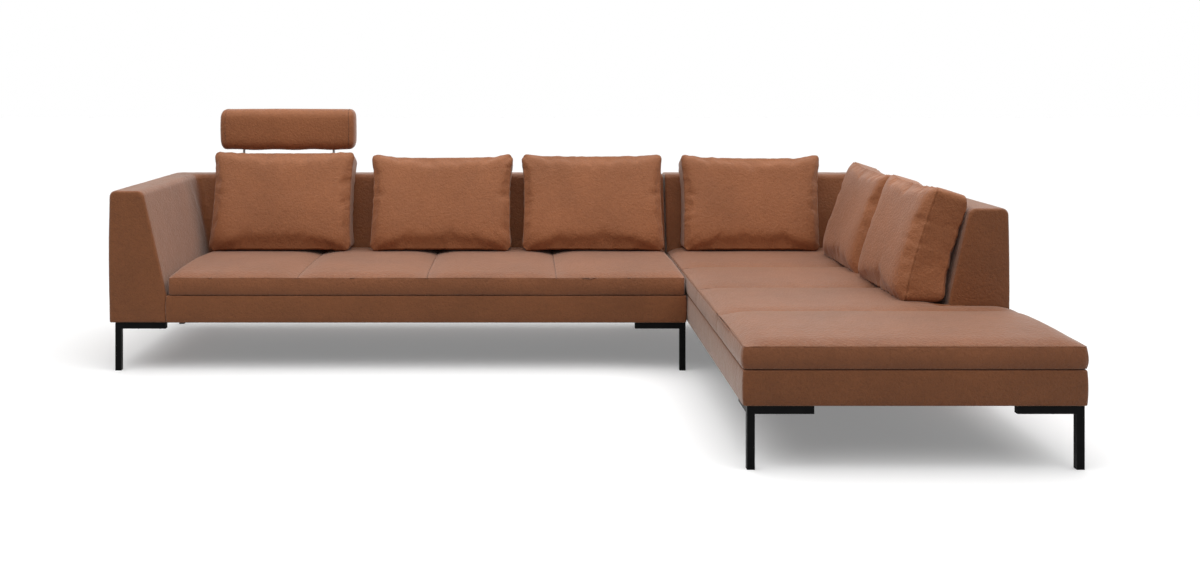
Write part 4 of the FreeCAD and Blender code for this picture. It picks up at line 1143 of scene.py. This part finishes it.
def base_skin(name, node, outline, radius=0.008):
    """A seat base's leather: upright sides with softened edges. outline(inset) gives its corners."""
    bottom, top = low(node).z, high(node).z
    levels = []
    for angle in steps(0.0, math.pi / 2, math.pi / 8):
        levels.append((radius * (1 - math.sin(angle)), bottom + radius * (1 - math.cos(angle)) * 0.5))
    for z in steps(bottom + radius * 0.5, top - radius, 0.02)[1:-1]:
        share = (z - bottom) / (top - bottom)
        levels.append((-0.0024 * math.sin(math.pi * share), z))
    for angle in steps(math.pi / 2, 0.0, math.pi / 8):
        levels.append((radius * (1 - math.sin(angle)), top - radius * (1 - math.cos(angle))))
    loops = [[(x, y, z) for x, y in outline(inset)] for inset, z in levels]
    count = len(loops[0])
    vertices = [p for loop in loops for p in loop]
    faces = bands([count * level for level in range(len(loops))], count)
    faces.append(tuple(range(count - 1, -1, -1)))
    faces.append(tuple((len(loops) - 1) * count + i for i in range(count)))
    skin = new_piece(name, vertices, faces, LEATHER_BODY_PAINTED_SHADE)
    skin.data.polygons[-1].use_smooth = skin.data.polygons[-2].use_smooth = False
    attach(skin, "sofa")
    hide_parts(node)
    return skin


def rounded_outline(corners, radii, pitch=0.03):
    """Points round a right-angled outline. corners are (x, y, inward x, inward y), each with its radius."""
    total = len(corners)

    def outline(inset):
        points = []
        placed = [Vector((x + sx * inset, y + sy * inset)) for x, y, sx, sy in corners]
        drawn = [max(radius - inset * 0.5, 0.001) for radius in radii]
        for i, here in enumerate(placed):
            before, after = placed[i - 1], placed[(i + 1) % total]
            back, ahead = (before - here).normalized(), (after - here).normalized()
            centre = here + (back + ahead) * drawn[i]
            for angle in steps(0.0, math.pi / 2, math.pi / 8):
                turned = ahead * drawn[i] * math.cos(angle) + back * drawn[i] * math.sin(angle)
                points.append(tuple(centre - turned))
            side = Vector(corners[i][:2]) - Vector(corners[(i + 1) % total][:2])
            count = max(2, int(round(side.length / pitch)))
            first = Vector(points[-1])
            last = after + (here - after).normalized() * drawn[(i + 1) % total]
            points += [tuple(first + (last - first) * step / count) for step in range(1, count)]
        return points

    return outline


def build_bases():
    """The leather of both seat bases."""
    main = [
        (ARM_INNER, MAIN_FRONT, 1, 1),
        (MAIN_RIGHT, MAIN_FRONT, -1, 1),
        (MAIN_RIGHT, BACK_FACE, -1, -1),
        (ARM_INNER, BACK_FACE, 1, -1),
    ]
    base_skin("main_base_skin", "main_base_cover", rounded_outline(main, [0.004, 0.008, 0.003, 0.003]))
    end = [
        (END_LEFT, END_FRONT, 1, 1),
        (RIGHT, END_FRONT, -1, 1),
        (RIGHT, SIDE_FRONT, -1, -1),
        (SIDE_FACE, SIDE_FRONT, -1, -1),
        (SIDE_FACE, BACK_FACE, -1, -1),
        (END_LEFT, BACK_FACE, 1, -1),
    ]
    base_skin(
        "end_base_skin", "end_base_cover", rounded_outline(end, [0.008, 0.008, 0.003, 0.002, 0.003, 0.003])
    )


# Stage, lights and camera


def build_stage():
    """A pale floor."""
    corners = [(FLOOR_REACH * x, FLOOR_REACH * y, 0) for x, y in ((-1, -1), (1, -1), (1, 1), (-1, 1))]
    floor = new_piece("floor", corners, [(0, 1, 2, 3)], floor_material())


def add_light(name, kind, energy, place, turn, **settings):
    """One lamp. turn is in degrees about X."""
    lamp = bpy.data.lights.new(name, kind)
    lamp.energy = energy
    for key, value in settings.items():
        setattr(lamp, key, value)
    holder = linked(name, lamp)
    holder.location = place
    holder.rotation_euler = (math.radians(turn), 0.0, 0.0)


def build_lights():
    """A white surround, a soft wide light from above and a large lamp over the sofa."""
    world = bpy.data.worlds.new("studio")
    bpy.context.scene.world = world
    s = Shader("studio", world)
    facing = s.vectors("DOT_PRODUCT", {0: s.coordinates, 1: WORLD_DIRECTION})["Value"]
    level = s.span(facing, -0.3, 0.6, WORLD_FRONT, WORLD_BACK)
    white = s.white_rays()
    faded = s.maths("MULTIPLY", level, s.maths("SUBTRACT", 1.0, white))
    s.feed(s.maths("ADD", faded, white), s.bsdf.inputs["Strength"])
    s.bsdf.inputs["Color"].default_value = (1.0, 1.0, 1.0, 1.0)
    add_light("wide_top", "SUN", TOP_LIGHT, (0.0, 0.0, 5.0), 8.0, angle=math.radians(100.0))
    add_light("overhead", "AREA", LAMP_LIGHT, (0.0, -0.6, 2.6), 0.0, shape="RECTANGLE", size=5.0, size_y=3.0)


def build_camera():
    """A level camera with the photograph's perspective and framing."""
    camera = bpy.data.cameras.new("photo_camera")
    camera.sensor_width = SENSOR_MM
    camera.sensor_fit = "HORIZONTAL"
    camera.lens = FOCAL_PIXELS / PHOTO_WIDTH * SENSOR_MM
    camera.shift_x = (PHOTO_WIDTH / 2 - VANISHING_X) / PHOTO_WIDTH
    camera.shift_y = (VANISHING_Y - PHOTO_HEIGHT / 2) / PHOTO_WIDTH
    camera.clip_end = 100.0
    holder = linked("photo_camera", camera)
    holder.location = CAMERA_PLACE
    holder.rotation_euler = (math.pi / 2, 0.0, 0.0)
    bpy.context.scene.camera = holder


def main():
    bpy.context.scene.view_settings.view_transform = "Standard"
    dress_nodes()
    build_camera()
    build_lights()
    build_stage()
    build_walls()
    build_bases()
    build_pads()
    build_cushions()
    build_headrest()
    build_screws()
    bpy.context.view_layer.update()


main()
